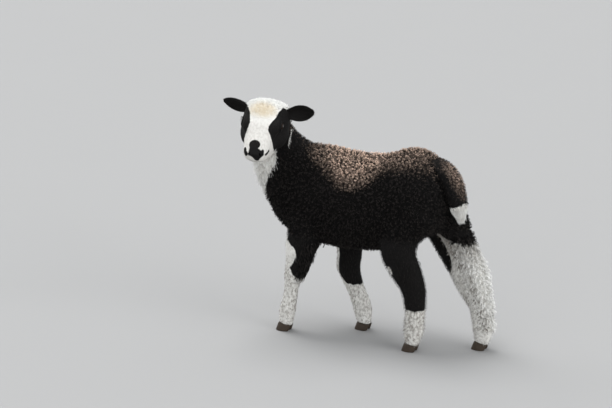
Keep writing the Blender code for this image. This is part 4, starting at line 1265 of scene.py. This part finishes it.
def coat_colour(maker, tip, shade, crest):
    """Black or white wool and hair by the markings, lighter and browner to its tips."""
    c = bpy.context.scene.lamb_colours
    white = maker.attribute("white")
    ragged = maker.noise(110.0, 4.0, 0.8, seed=11.0) * 1.5 + shade * 0.6 - 1.05
    white = maker.step(white + ragged * white * (1.0 - white) * 4.0, 0.40, 0.60)
    sun, tan, soil = (maker.attribute(name) for name in ("sun", "tan", "soil"))
    # Tips are painted lighter at the middle of a lock and darker in the gaps between locks:
    # painted highlight and painted shade
    lit = maker.step(tip, 0.03, 0.55) * (crest * 0.94 + 0.06)
    dark = maker.mixed(lit * tip, colour(c.dark_root), colour(c.dark_tip))
    # Sun-bleached tips, which through that factor also carry the painted highlight at each lock's
    # middle
    bleached = ((sun * 1.5 + shade * 0.40 - 0.52).clamped() * lit).clamped()
    dark = maker.mixed(bleached, dark, colour(c.bleached))
    # Mud and painted shade lie between the locks of the white wool
    streaks = maker.step(maker.noise(190.0, 3.0, 0.6, (1.0, 1.0, 0.35), 4.0), 0.42, 0.66)
    grime_and_shade = (soil * ((1.0 - crest) ** 2.2 * 1.5 + streaks * 0.22 + 0.06)).clamped()
    pale = maker.mixed(maker.step(tip, 0.0, 0.6), colour(c.white_root), colour(c.white_tip))
    # Painted shade greys the white wool, in streaks
    dull = (maker.attribute("dull") * (streaks * 0.35 + 0.85)).clamped()
    pale = maker.mixed(grime_and_shade, maker.mixed(dull, pale, colour(c.soiled_and_shaded)), colour(c.soiled_and_shaded))
    fawn = (tan * (crest * 0.3 + shade * 0.5 + 0.4)).clamped()
    pale = maker.mixed(fawn, pale, colour(c.fawn))
    return maker.mixed(white, dark, pale)


def coat_material(name, rough, rise=0.0):
    """Wool or hair in tufts; rise lets its tips' colour down to the roots."""
    made, maker, shader = new_material(name, rough)
    tip, shade = maker.attribute("tip"), maker.attribute("shade")
    blotches = maker.noise(60.0, seed=3.0)
    base = coat_colour(maker, tip * (1.0 - rise) + rise, (shade * 0.7 + blotches * 0.5).clamped(),
                       maker.attribute("crest"))
    link(maker, base, shader, "Base Color")
    return made


def skin_material():
    """The skin, with the coat's markings, short flat hair, and a leathery nose."""
    c = bpy.context.scene.lamb_colours
    made, maker, shader = new_material("skin", 0.8)
    strands = maker.noise(900.0, 4.0, 0.65)
    blotches = maker.noise(70.0, seed=3.0)
    place = maker.node("ShaderNodeTexCoord", output="Object")
    cells = maker.node("ShaderNodeTexVoronoi", {}, {"Vector": place, "Scale": SKIN_LOCKS})
    # The skin is painted darker in the gaps between the locks: painted shade
    crest = 1.0 - maker.step(cells, *LOCK_EDGE) * maker.attribute("wool")
    base = coat_colour(maker, strands * 0.45, blotches, crest)
    # Bare lips, with painted shade in their groove
    base = maker.mixed(maker.attribute("lips") * 0.75, base, colour(c.lips))
    bare = (maker.attribute("nose") + maker.attribute("rim")).clamped()
    base = maker.mixed(bare, base, colour(c.nose))
    link(maker, base, shader, "Base Color")
    pores = maker.node("ShaderNodeTexVoronoi", {}, {"Vector": place, "Scale": 900.0})
    height = strands * (1.0 - bare) + pores * bare * 0.6 + crest * maker.attribute("wool") * 3.0
    bump = maker.node("ShaderNodeBump", {}, {"Strength": 0.5, "Distance": 0.0005,
                                             "Height": height})
    link(maker, bump, shader, "Normal")
    link(maker, 0.82 - bare * 0.42, shader, "Roughness")
    return made


def eye_material():
    """A dark amber eye with a wide pupil, under a wet film."""
    c = bpy.context.scene.lamb_colours
    made, maker, shader = new_material("eye", 0.25, coat=0.45)
    shader.inputs["Coat Roughness"].default_value = 0.04
    shader.inputs["Coat IOR"].default_value = 1.38
    place = maker.node("ShaderNodeUVMap", {"uv_map": "iris"})
    split = maker.tree.nodes.new("ShaderNodeSeparateXYZ")
    maker.tree.links.new(place.socket, split.inputs[0])
    across = (Value(maker, split.outputs[0]) - 0.5) * 2.0
    up = (Value(maker, split.outputs[1]) - 0.5) * 2.0
    # Distances as shares of the eyeball's radius
    round_off = (across * across + up * up) ** 0.5
    slot = ((across * 0.42) ** 4.0 + (up * 1.15) ** 4.0) ** 0.25
    fibres = maker.node("ShaderNodeTexNoise", {}, {"Vector": place, "Scale": 24.0, "Detail": 5.0})
    iris = maker.mixed(fibres, colour(c.iris_dark), colour(c.iris))
    pupil = 1.0 - maker.step(slot, 0.15, 0.19)
    base = maker.mixed(pupil, iris, (0.004, 0.004, 0.005, 1))
    base = maker.mixed(maker.step(round_off, 0.60, 0.72), base, colour(c.eye_rim))
    link(maker, base, shader, "Base Color")
    return made


def hoof_material():
    """Dull dark horn with faint rings of growth."""
    c = bpy.context.scene.lamb_colours
    made, maker, shader = new_material("hoof", 0.5)
    rings = maker.noise(420.0, 3.0, 0.55, (0.15, 0.15, 1.0))
    stains = maker.noise(120.0, 4.0, 0.6, seed=7.0)
    base = maker.mixed(rings * 0.6 + stains * 0.4, colour(c.hoof_dark), colour(c.hoof))
    link(maker, base, shader, "Base Color")
    link(maker, 0.38 + stains * 0.3, shader, "Roughness")
    bump = maker.node("ShaderNodeBump", {}, {"Strength": 0.4, "Distance": 0.0004,
                                             "Height": rings})
    link(maker, bump, shader, "Normal")
    return made


def strand(bm, layers, points, widths, tips, side):
    """One closed three-sided strand along points, which tapers to its tip."""
    tip_layer, patch = layers
    rows = []
    for i, (point, width) in enumerate(zip(points[:-1], widths)):
        along = (points[min(i + 1, len(points) - 1)] - points[max(i - 1, 0)]).normalized()
        across = along.cross(side).normalized()
        up = across.cross(along)
        row = []
        for k in range(3):
            turn = 2 * math.pi * k / 3
            v = bm.verts.new(point + (across * math.cos(turn) + up * math.sin(turn)) * width)
            v[tip_layer] = tips[i]
            row.append(v)
        rows.append(row)
    end = bm.verts.new(points[-1])
    end[tip_layer] = tips[-1]
    faces = [bm.faces.new(rows[0][::-1])]
    for near, far in zip(rows, rows[1:]):
        for k in range(3):
            m = (k + 1) % 3
            faces.append(bm.faces.new((near[k], near[m], far[m], far[k])))
    for k in range(3):
        faces.append(bm.faces.new((rows[-1][k], rows[-1][(k + 1) % 3], end)))
    turn_of = {v: k / 3 for row in rows for k, v in enumerate(row)}
    for face in faces:
        for corner in face.loops:
            around = turn_of.get(corner.vert, 0.5)
            corner[patch].uv = (0.15 + around, 0.05 + 0.9 * corner.vert[tip_layer])


def tuft(name, strands, group):
    """A tuft of strands, each given as points, widths and tips."""
    bm = bmesh.new()
    layers = bm.verts.layers.float.new("tip"), bm.loops.layers.uv.new("patch")
    for points, widths, tips, side in strands:
        strand(bm, layers, points, widths, tips, side)
    made = mesh_object(name, bm)
    made.data.shade_smooth()
    bpy.context.scene.collection.objects.unlink(made)
    group.objects.link(made)


def curls(name, count, strands, rings, height, radius, thick, turns, seed):
    """Tufts of curly wool: strands that coil and flatten towards their tips."""
    rng = np.random.default_rng(seed)
    group = bpy.data.collections.new(name)
    for number in range(count):
        made = []
        for _ in range(strands):
            spin = rng.uniform(0, 2 * math.pi)
            around = rng.uniform(0.8, 1.2) * turns * 2 * math.pi * rng.choice((-1, 1))
            root = Vector((rng.uniform(-1, 1), rng.uniform(-1, 1), 0)) * radius * 0.7
            size, tall = rng.uniform(0.75, 1.2) * radius, rng.uniform(0.8, 1.1) * height
            points, widths, tips = [], [], []
            for i in range(rings + 1):
                t = i / rings
                coil = size * math.sin(math.pi * (0.1 + 0.78 * t)) ** 0.8
                turn = spin + around * t
                up = tall * (1 - (1 - t) ** 2.2)
                place = Vector((math.cos(turn) * coil, math.sin(turn) * coil, up))
                points.append(root + place - Vector((0, 0, height * 0.12 * (1 - t))))
                widths.append(thick * (1.15 - 0.55 * t))
                tips.append(t)
            made.append((points, widths, tips, Vector((0.3, 0.2, 1.0)).normalized()))
        tuft(f"{name}_{number}", made, group)
    return group


def locks(name, count, strands, rings, length, spread, thick, bend, seed):
    """Tufts of straight hair that bend over towards the lie, which is their own X."""
    rng = np.random.default_rng(seed)
    group = bpy.data.collections.new(name)
    for number in range(count):
        made = []
        for _ in range(strands):
            root = Vector((rng.uniform(-1, 1), rng.uniform(-1, 1), 0)) * spread
            splay = rng.uniform(-0.30, 0.30)
            reach = length * rng.uniform(0.7, 1.15)
            curve = bend * rng.uniform(0.6, 1.3)
            points, widths, tips = [], [], []
            for i in range(rings + 1):
                t = i / rings
                over = reach * curve * t * t
                rise = reach * t * (1 - 0.35 * curve * t)
                points.append(root + Vector((over, over * splay + splay * 0.3 * reach * t, rise)))
                widths.append(thick * (1.0 - 0.6 * t))
                tips.append(t)
            points[0] -= Vector((0, 0, length * 0.08))
            made.append((points, widths, tips, Vector((0, 1, 0))))
        tuft(f"{name}_{number}", made, group)
    return group


def tuft_tree():
    """The tree that sets tufts on one region of the skin."""
    tree = bpy.data.node_groups.new("tufts", "GeometryNodeTree")
    face = tree.interface
    for name, kind in (
        ("Geometry", "NodeSocketGeometry"), ("Region", "NodeSocketInt"),
        ("Spacing", "NodeSocketFloat"), ("Size", "NodeSocketFloat"),
        ("Lean", "NodeSocketFloat"), ("Lean Spread", "NodeSocketFloat"),
        ("Spin", "NodeSocketFloat"), ("Seed", "NodeSocketInt"),
        ("Clump", "NodeSocketFloat"), ("Gather", "NodeSocketFloat"),
        ("Patch", "NodeSocketFloat"), ("Tufts", "NodeSocketCollection"),
        ("Coat", "NodeSocketMaterial"),
    ):
        face.new_socket(name=name, in_out="INPUT", socket_type=kind)
    face.new_socket(name="Geometry", in_out="OUTPUT", socket_type="NodeSocketGeometry")
    maker = Maker(tree)
    entry = tree.nodes.new("NodeGroupInput")
    asked = {s.name: Value(maker, s) for s in entry.outputs if s.name}

    def named(name, kind):
        return maker.node("GeometryNodeInputNamedAttribute", {"data_type": kind}, {"Name": name})

    def chance(low, high, seed):
        return maker.node("FunctionNodeRandomValue", {"data_type": "FLOAT"},
                          {2: low, 3: high, "Seed": asked["Seed"] + seed}, output=1)

    def vector_sum(operation, first, second):
        return maker.node("ShaderNodeVectorMath", {"operation": operation}, {0: first, 1: second})

    def turned(rotation, x, y, z):
        by = maker.node("ShaderNodeCombineXYZ", {}, {0: x, 1: y, 2: z})
        by = maker.node("FunctionNodeEulerToRotation", {}, {0: by})
        return maker.node("FunctionNodeRotateRotation", {"rotation_space": "LOCAL"},
                          {"Rotation": rotation, "Rotate By": by})

    here = maker.node("FunctionNodeCompare", {"data_type": "INT", "operation": "EQUAL"},
                      {2: named("region", "INT"), 3: asked["Region"]})
    # More points than fit, so that the least gap between them decides
    crowd = 2.5 * (asked["Spacing"] ** -2.0)
    scatter = tree.nodes.new("GeometryNodeDistributePointsOnFaces")
    scatter.distribute_method = "POISSON"
    for name, value in (("Mesh", asked["Geometry"]), ("Selection", here),
                        ("Distance Min", asked["Spacing"]), ("Density Max", crowd),
                        ("Density Factor", named("grow", "FLOAT")), ("Seed", asked["Seed"])):
        tree.links.new(value.socket, scatter.inputs[name])
    normal = Value(maker, scatter.outputs["Normal"])
    # Tufts of one lock lean towards its middle, which leaves gaps between the locks
    place = maker.node("GeometryNodeInputPosition")
    middle = maker.node("ShaderNodeTexVoronoi", {}, {
        "Vector": place, "Scale": asked["Clump"] ** -1.0}, output="Position")
    away = Value(maker, middle.socket.node.outputs["Distance"])
    crest = 1.0 - maker.step(away, *LOCK_EDGE)
    gather = maker.node("ShaderNodeCombineXYZ", {}, {i: asked["Gather"] for i in range(3)})
    inward = vector_sum("MULTIPLY", vector_sum("SUBTRACT", middle, place), gather)
    up = maker.node("FunctionNodeAlignRotationToVector", {"axis": "Z"},
                    {"Vector": vector_sum("ADD", normal, inward)})
    up = maker.node("FunctionNodeAlignRotationToVector", {"axis": "X", "pivot_axis": "Z"},
                    {"Rotation": up, "Vector": named("lie", "FLOAT_VECTOR")})
    lean = asked["Lean"] + chance(-1.0, 1.0, 1) * asked["Lean Spread"]
    sideways = chance(-1.0, 1.0, 2) * asked["Lean Spread"]
    up = turned(up, sideways, lean, 0.0)
    up = turned(up, 0.0, 0.0, chance(-math.pi, math.pi, 3) * asked["Spin"])
    size = asked["Size"] * named("length", "FLOAT") * chance(0.85, 1.15, 4) * (crest * 0.25 + 0.85)
    size = maker.node("ShaderNodeCombineXYZ", {}, {0: size, 1: size, 2: size})
    shapes = maker.node("GeometryNodeCollectionInfo", {}, {
        "Collection": asked["Tufts"], "Separate Children": True, "Reset Children": True})
    # Each tuft keeps how near it stands to its lock's middle, for the coat's painted highlight and
    # painted shade
    roots = maker.node("GeometryNodeStoreNamedAttribute", {"data_type": "FLOAT"}, {
        "Geometry": Value(maker, scatter.outputs["Points"]), "Name": "crest", "Value": crest})
    grown = maker.node("GeometryNodeInstanceOnPoints", {}, {
        "Points": roots, "Instance": shapes,
        "Pick Instance": True, "Rotation": up, "Scale": size})
    grown = maker.node("GeometryNodeStoreNamedAttribute",
                       {"data_type": "FLOAT", "domain": "INSTANCE"},
                       {"Geometry": grown, "Name": "shade", "Value": chance(0.0, 1.0, 5)})
    grown = maker.node("GeometryNodeRealizeInstances", {}, {"Geometry": grown})

    size = maker.node("ShaderNodeCombineXYZ", {}, {0: asked["Patch"], 1: asked["Patch"]})
    patch = vector_sum("SUBTRACT", named("patch", "FLOAT_VECTOR"), (0.5, 0.5, 0.0))
    place = vector_sum("ADD", named("OFBake", "FLOAT_VECTOR"), vector_sum("MULTIPLY", patch, size))
    grown = maker.node("GeometryNodeStoreNamedAttribute",
                       {"data_type": "FLOAT2", "domain": "CORNER"},
                       {"Geometry": grown, "Name": "OFBake", "Value": place})
    grown = maker.node("GeometryNodeSetMaterial", {}, {"Geometry": grown,
                                                      "Material": asked["Coat"]})
    leave = tree.nodes.new("NodeGroupOutput")
    tree.links.new(grown.socket, leave.inputs["Geometry"])
    return tree


# The width of each tuft's patch on the skin's map, and that of a lock unless a piece says so
PATCH_WIDTH, CLUMP_WIDTH = 0.003, 0.0070
# What the skin carries for the tree alone
SPARE = ("lie", "grow", "length", "region", "patch", "nose", "rim", "lips", "wool")


def growth(spacing, lean, spread, spin, size=1.0, clump=CLUMP_WIDTH, gather=0.0):
    """How tufts are set: least gap, lean, turn, size, width of a lock, and pull to its middle."""
    return {"Spacing": spacing, "Size": size, "Lean": lean, "Lean Spread": spread,
            "Spin": spin, "Clump": clump, "Gather": gather}


def grow_coat(name, region, tufts, coat, values):
    """Grows one piece of coat on the skin and makes it a plain mesh."""
    skin = bpy.data.objects["skin"]
    tree = bpy.data.node_groups.get("tufts") or tuft_tree()
    made = bpy.data.objects.new(name, skin.data)
    bpy.context.scene.collection.objects.link(made)
    step = made.modifiers.new("Tufts", "NODES")
    step.node_group = tree
    asked = {s.name: s.identifier for s in tree.interface.items_tree if s.in_out == "INPUT"}
    values = {"Region": REGIONS[region], "Tufts": tufts, "Coat": coat, "Patch": PATCH_WIDTH,
              "Seed": REGIONS[region] * 10, **values}
    for title, value in values.items():
        step[asked[title]] = value
    made = evaluated(made, name)
    for spare in SPARE:
        extra = made.data.attributes.get(spare)
        if extra:
            made.data.attributes.remove(extra)
    count_triangles(made)
    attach(made, "root")
    return made


def count_triangles(made):
    """Prints how many triangles a piece has, and stops where they are none or too many."""
    count = sum(len(p.vertices) - 2 for p in made.data.polygons)
    print(f"{made.name}: {count} triangles")
    if not 0 < count < MOST_TRIANGLES:
        raise RuntimeError(f"{made.name} has {count} triangles")


class LambSizes(bpy.types.PropertyGroup):
    """Sizes of the coat."""

    wool_length: FloatProperty(name="Wool length", description="Height of a tuft of fleece",
                               default=0.0084, min=0.002, max=0.04, unit="LENGTH")
    wool_spacing: FloatProperty(name="Wool spacing", description="Least gap between tufts",
                                default=0.0027, min=0.002, max=0.02, unit="LENGTH")
    hair_spacing: FloatProperty(name="Hair spacing", description="Least gap on the legs",
                                default=0.0031, min=0.001, max=0.02, unit="LENGTH")
    face_spacing: FloatProperty(name="Face spacing", description="Least gap on the face",
                                default=0.0019, min=0.001, max=0.02, unit="LENGTH")
    seed: IntProperty(name="Seed", description="Number that the random draws start from",
                      default=5)


def colour_property(name, description, default):
    """A colour that the panel shows."""
    return FloatVectorProperty(name=name, description=description, default=default,
                               subtype="COLOR", size=3, min=0.0, max=1.0)


class LambColours(bpy.types.PropertyGroup):
    """Colours of the coat, eyes and hooves."""

    dark_root: colour_property("Dark root", "Black wool at its root", (0.0026, 0.0024, 0.0024))
    dark_tip: colour_property("Dark tip", "Black wool at its tip", (0.046, 0.040, 0.037))
    bleached: colour_property("Bleached tip", "Tips that the sun has bleached", (0.90, 0.67, 0.53))
    white_root: colour_property("White root", "White wool at its root", (0.84, 0.83, 0.79))
    white_tip: colour_property("White tip", "White wool at its tip", (0.91, 0.91, 0.89))
    # Mud and painted shade between the white locks, and painted shade over white wool
    soiled_and_shaded: colour_property("Soiled and shaded root", "White wool's root on the legs", (0.14, 0.115, 0.09))
    fawn: colour_property("Fawn", "The stain on the poll", (0.70, 0.61, 0.46))
    nose: colour_property("Nose", "Bare skin of the nose and eye rims", (0.0010, 0.0009, 0.0011))
    # Bare lip skin and painted shade in the groove between the lips
    lips: colour_property("Lips", "The groove between the lips", (0.10, 0.072, 0.066))
    iris: colour_property("Iris", "Light fibres of the iris", (0.045, 0.020, 0.008))
    iris_dark: colour_property("Iris dark", "Dark fibres of the iris", (0.012, 0.006, 0.003))
    eye_rim: colour_property("Eye rim", "The eye round its iris", (0.012, 0.008, 0.006))
    hoof: colour_property("Hoof", "Light rings of the horn", (0.085, 0.065, 0.048))
    hoof_dark: colour_property("Hoof dark", "Dark rings of the horn", (0.022, 0.017, 0.014))
    floor: colour_property("Floor", "The floor", (0.34, 0.34, 0.34))


# How strongly tufts lean towards the middle of their lock
WOOL_GATHER, HAIR_GATHER = 90.0, 60.0

# The solids that the skin stands for
FLESH = ("head", "ear_left", "ear_right", "neck", "forequarters", "barrel", "hindquarters",
         "tail", *(f"{leg}_{part}" for leg in LEGS for part in ("upper", "lower")))


class LAMB_OT_skin(bpy.types.Operator):
    """Build the skin of head, body, legs and tail in one piece."""

    bl_idname = "lamb.skin"
    bl_label = "Skin"

    def execute(self, context):
        face = head()
        turned = head_matrix()
        ears = [ear(side) for side in ("left", "right")]
        for piece in (face, *ears):
            piece.data.transform(turned)
        trunk_and_legs, hanging = body(), tail()
        shapes = {"head": tree_of(face), "tail": tree_of(hanging)}
        ear_trees = [tree_of(piece) for piece in ears]
        for piece in ears:
            bpy.data.objects.remove(piece)
        made = joined("skin", trunk_and_legs, [face, hanging], "UNION")
        points = points_of(made.data)

        def on(tree):
            found = [tree.find_nearest(Vector(p), ON_FORM)[3] for p in points]
            return np.array([d is not None for d in found])

        parts = {name: on(tree) for name, tree in shapes.items()}
        parts["ear"] = on(ear_trees[0]) | on(ear_trees[1])
        parts["head"] &= ~parts["ear"]
        unwrapped(made)
        dress(made.data, parts)
        made.data.transform(Matrix.Translation(SHIFT))
        made.data.shade_smooth()
        made.data.materials.clear()
        made.data.materials.append(skin_material())
        count_triangles(made)
        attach(made, "root")
        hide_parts(*FLESH)
        return {"FINISHED"}


class LAMB_OT_fleece(bpy.types.Operator):
    """Grow the curly fleece of neck, trunk, rump, tail and poll."""

    bl_idname = "lamb.fleece"
    bl_label = "Fleece"

    def execute(self, context):
        s = context.scene.lamb_sizes
        wool = coat_material("fleece", 0.9)
        shapes = curls("curl", count=9, strands=1, rings=6, height=s.wool_length,
                       radius=0.0017, thick=0.00074, turns=0.85, seed=s.seed)
        thickly = growth(s.wool_spacing, lean=0.35, spread=0.15, spin=1.0, gather=WOOL_GATHER)
        for region in ("neck", "shoulders_left", "shoulders_right", "ribs_left", "ribs_right",
                       "rump_left", "rump_right"):
            grow_coat("fleece_" + region, region, shapes, wool, thickly)
        grow_coat("fleece_tail", "tail", shapes, wool,
                  growth(s.wool_spacing, lean=0.6, spread=0.2, spin=1.0, size=0.68,
                         gather=WOOL_GATHER))
        tassel = locks("tassel", count=6, strands=3, rings=4, length=0.0130, spread=0.0012,
                       thick=0.00050, bend=0.7, seed=s.seed + 6)
        grow_coat("fleece_tail_tip", "tail_tip", tassel, wool,
                  growth(0.0028, lean=0.85, spread=0.2, spin=0.08))
        fluff = locks("fluff", count=7, strands=2, rings=5, length=0.0150, spread=0.0016,
                      thick=0.00060, bend=0.55, seed=s.seed + 7)
        grow_coat("fleece_bib", "bib", fluff, wool,
                  growth(0.0034, lean=0.65, spread=0.3, spin=0.12, clump=0.009,
                         gather=HAIR_GATHER))
        small = curls("down_curl", count=7, strands=1, rings=5, height=0.0060,
                      radius=0.0014, thick=0.00056, turns=0.7, seed=s.seed + 4)
        # The poll's roots take nearly the colour of its tips: painted light in the shade between
        # its curls
        pale = coat_material("poll", 0.9, 0.8)
        grow_coat("fleece_poll", "poll", small, pale,
                  growth(0.0020, lean=0.55, spread=0.25, spin=1.0, clump=0.005,
                         gather=HAIR_GATHER))
        return {"FINISHED"}


class LAMB_OT_hair(bpy.types.Operator):
    """Grow the short hair of face, ears and legs."""

    bl_idname = "lamb.hair"
    bl_label = "Hair"

    def execute(self, context):
        s = context.scene.lamb_sizes
        hair = coat_material("hair", 0.7)
        short = locks("down", count=5, strands=2, rings=3, length=0.0036, spread=0.0009,
                      thick=0.00026, bend=0.9, seed=s.seed + 1)
        plain = locks("lock", count=6, strands=2, rings=3, length=0.0070, spread=0.0011,
                      thick=0.00048, bend=0.8, seed=s.seed + 2)
        crimped = curls("crimp", count=7, strands=1, rings=5, height=0.0080,
                        radius=0.0013, thick=0.00046, turns=0.6, seed=s.seed + 3)
        grow_coat("hair_face", "face", short, hair,
                  growth(s.face_spacing, lean=0.95, spread=0.2, spin=0.05, clump=0.0036))
        grow_coat("hair_ears", "ears", short, hair,
                  growth(s.face_spacing, lean=0.75, spread=0.25, spin=0.05))
        for region, shapes, gap, clump, gather in (
            ("forelegs", plain, 1.1, 0.0050, 40.0),
            ("hindleg_left", crimped, 1.0, 0.0055, 60.0),
            ("hindleg_right", crimped, 0.76, 0.0075, 100.0),
        ):
            grow_coat("hair_" + region, region, shapes, hair,
                      growth(s.hair_spacing * gap, lean=0.7, spread=0.25, spin=0.12,
                             clump=clump, gather=gather))
        return {"FINISHED"}


def lashes(side, skin, count=30):
    """Lashes along the upper lid, rooted in the skin, which point out and down."""
    tree, flat = tree_of(skin), skin.data.uv_layers["OFBake"].data
    turn = Matrix.Translation(SHIFT) @ head_matrix() @ (
        Matrix.Translation(mirrored(EYE_PLACE, side)) @ eye_frame(side).to_4x4())
    rng = np.random.default_rng(17 if side == "left" else 18)
    bm = bmesh.new()
    layers = bm.verts.layers.float.new("tip"), bm.loops.layers.uv.new("OFBake")
    for number in range(count):
        angle = math.radians(20 + 140 * number / (count - 1) + rng.uniform(-2, 2))
        out = Vector((math.cos(angle), math.sin(angle), 0))
        rim = Vector((LID_WIDTH * out.x * 0.98, LID_HEIGHT * out.y * 0.94, 0.0030))
        root, _, face, _ = tree.find_nearest(turn @ rim)
        away = turn.to_3x3() @ Vector((out.x * 0.55 + rng.uniform(-0.1, 0.1), 0.10, 0.9))
        down = turn.to_3x3() @ Vector((out.x * 0.3, -0.55, 0.1))
        long = rng.uniform(0.0050, 0.0072) * (1 - 0.3 * abs(out.x))
        points = [root + (away * t + down * t * t) * long for t in (-0.06, 0.25, 0.5, 0.75, 1.0)]
        old = len(bm.faces)
        strand(bm, layers, points, (0.00022, 0.00020, 0.00016, 0.00011), (0, 0.25, 0.5, 0.75, 1),
               Vector((0.1, 0.2, 1)))
        corners = skin.data.polygons[face].loop_indices
        middle = sum((flat[i].uv for i in corners), Vector((0, 0))) / len(corners)
        bm.faces.ensure_lookup_table()
        for made in bm.faces[old:]:
            for corner in made.loops:
                patch = corner[layers[1]].uv - Vector((0.5, 0.5))
                corner[layers[1]].uv = middle + patch * PATCH_WIDTH
    made = mesh_object("lashes_" + side, bm)
    made.data.shade_smooth()
    return made


class LAMB_OT_eyes(bpy.types.Operator):
    """Build both eyes and their lashes."""

    bl_idname = "lamb.eyes"
    bl_label = "Eyes"

    def execute(self, context):
        wet = eye_material()
        skin = bpy.data.objects["skin"]
        for side in ("left", "right"):
            made = lashes(side, skin)
            made.data.materials.append(bpy.data.materials["hair"])
            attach(made, "root")
            made = eyeball(f"eyeball_{side}", side)
            inside = (head_matrix() @ eye_place(side)).inverted()
            made.data.transform(head_matrix())
            layer = made.data.uv_layers.new(name="iris")
            for corner in made.data.loops:
                spot_in = inside @ made.data.vertices[corner.vertex_index].co / EYE_RADIUS
                layer.data[corner.index].uv = (0.5 + spot_in.x / 2, 0.5 + spot_in.y / 2)
            made.data.transform(Matrix.Translation(SHIFT))
            made.data.shade_smooth()
            made.data.materials.append(wet)
            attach(made, "root")
            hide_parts("eye_" + side)
        return {"FINISHED"}


def claw(foot, outer, sides=32):
    """Rings of one claw: flat sole, rounded toe, and walls that lean to the coronet."""
    x, y = FEET[foot]
    side = (1 if outer else -1) * (1 if y > 0 else -1)
    rings = []
    for height, size in CLAW_SOLE + CLAW_WALL:
        ring = []
        for k in range(sides):
            turn = 2 * math.pi * k / sides
            along, across = math.cos(turn), math.sin(turn)
            toe = max(0.0, along)
            px = -along * CLAW_LENGTH / 2 * size
            flat = CLAW_INNER if across * side < 0 else 1.0
            py = across * flat * CLAW_WIDTH / 2 * size * (1 - CLAW_TOE_NARROWING * toe**2)
            py += (CLAW_WIDTH + CLAW_CLEFT) / 2 * side
            on_wall = height >= CLAW_WALL[0][0]
            z = (coronet_height(px) - GAP) * height if on_wall else height
            px += CLAW_TOE_LEAN * (z / CLAW_TOE_HEIGHT)
            if height > CLAW_LEVELLED:
                z = (coronet_height(px) - GAP) * height
            ring.append(Vector((x - CLAW_TOE_LEAN / 2 + px, y + py, z)))
        rings.append(ring)
    return rings


class LAMB_OT_hooves(bpy.types.Operator):
    """Build the two claws of each foot."""

    bl_idname = "lamb.hooves"
    bl_label = "Hooves"

    def execute(self, context):
        horn = hoof_material()
        for foot in FEET:
            for outer in (True, False):
                where = "outer" if outer else "inner"
                made = loft(f"claw_{foot}_{where}", claw(foot, outer))
                made.data.transform(Matrix.Translation(SHIFT))
                made.data.shade_smooth()
                made.data.set_sharp_from_angle(angle=math.radians(50))
                made.data.materials.append(horn)
                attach(made, "root")
                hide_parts(f"hoof_{foot}_{where}")
        return {"FINISHED"}


class LAMB_OT_stage(bpy.types.Operator):
    """Set the floor, the lights and the camera."""

    bl_idname = "lamb.stage"
    bl_label = "Stage"

    def execute(self, context):
        bm = bmesh.new()
        bmesh.ops.create_grid(bm, x_segments=1, y_segments=1, size=FLOOR_REACH)
        floor = mesh_object("floor", bm)
        paint, maker, shader = new_material("floor", 0.9)
        grain = maker.noise(3.0)
        pale = colour(context.scene.lamb_colours.floor)
        link(maker, maker.mixed(grain * 0.15, pale, FLOOR_PATCHES), shader, "Base Color")
        floor.data.materials.append(paint)
        world = bpy.data.worlds.new("studio")
        world.use_nodes = True
        sky = world.node_tree.nodes["Background"]
        sky.inputs["Color"].default_value = SKY_COLOUR
        sky.inputs["Strength"].default_value = SKY_POWER
        context.scene.world = world
        for name, place, power, softness in LIGHTS:
            light = bpy.data.lights.new(name, "SUN")
            light.energy, light.angle = power, softness
            lamp = bpy.data.objects.new(name, light)
            lamp.location = place
            beam = LIGHTS_AIM - Vector(place)
            lamp.rotation_euler = beam.to_track_quat("-Z", "Y").to_euler()
            context.scene.collection.objects.link(lamp)
        camera = bpy.data.cameras.new("camera")
        camera.sensor_width = SENSOR_WIDTH
        camera.lens = SENSOR_WIDTH * VIEW_DISTANCE / (PICTURE_WIDTH * METRES_A_PIXEL)
        camera.clip_end = 100.0
        stand = bpy.data.objects.new("camera", camera)
        azimuth, elevation = (math.radians(a) for a in VIEW_ANGLES)
        ahead = Vector((-math.sin(azimuth) * math.cos(elevation),
                        math.cos(azimuth) * math.cos(elevation), -math.sin(elevation)))
        stand.location = Vector(VIEW_AIM) + SHIFT - ahead * VIEW_DISTANCE
        stand.rotation_euler = ahead.to_track_quat("-Z", "Y").to_euler()
        context.scene.collection.objects.link(stand)
        context.scene.camera = stand
        context.scene.view_settings.view_transform = "Standard"
        return {"FINISHED"}


class LAMB_PT_panel(bpy.types.Panel):
    """Lists the lamb's pieces and their sizes and colours."""

    bl_idname = "LAMB_PT_panel"
    bl_label = "Lamb"
    bl_space_type = "VIEW_3D"
    bl_region_type = "UI"
    bl_category = "Lamb"

    def draw(self, context):
        for step in STEPS:
            self.layout.operator(step.bl_idname)
        for group in (context.scene.lamb_sizes, context.scene.lamb_colours):
            box = self.layout.box()
            for name in group.bl_rna.properties.keys():
                if name not in ("rna_type", "name"):
                    box.prop(group, name)


STEPS = (LAMB_OT_skin, LAMB_OT_fleece, LAMB_OT_hair, LAMB_OT_eyes, LAMB_OT_hooves, LAMB_OT_stage)
CLASSES = (LambSizes, LambColours, *STEPS, LAMB_PT_panel)


def register():
    for kind in CLASSES:
        bpy.utils.register_class(kind)
    bpy.types.Scene.lamb_sizes = PointerProperty(type=LambSizes)
    bpy.types.Scene.lamb_colours = PointerProperty(type=LambColours)


def unregister():
    del bpy.types.Scene.lamb_colours
    del bpy.types.Scene.lamb_sizes
    for kind in reversed(CLASSES):
        bpy.utils.unregister_class(kind)


def main():
    register()
    for step in (bpy.ops.lamb.skin, bpy.ops.lamb.fleece, bpy.ops.lamb.hair, bpy.ops.lamb.eyes,
                 bpy.ops.lamb.hooves, bpy.ops.lamb.stage):
        if step() != {"FINISHED"}:
            raise RuntimeError(f"{step} did not finish")


if __name__ == "__main__":
    main()
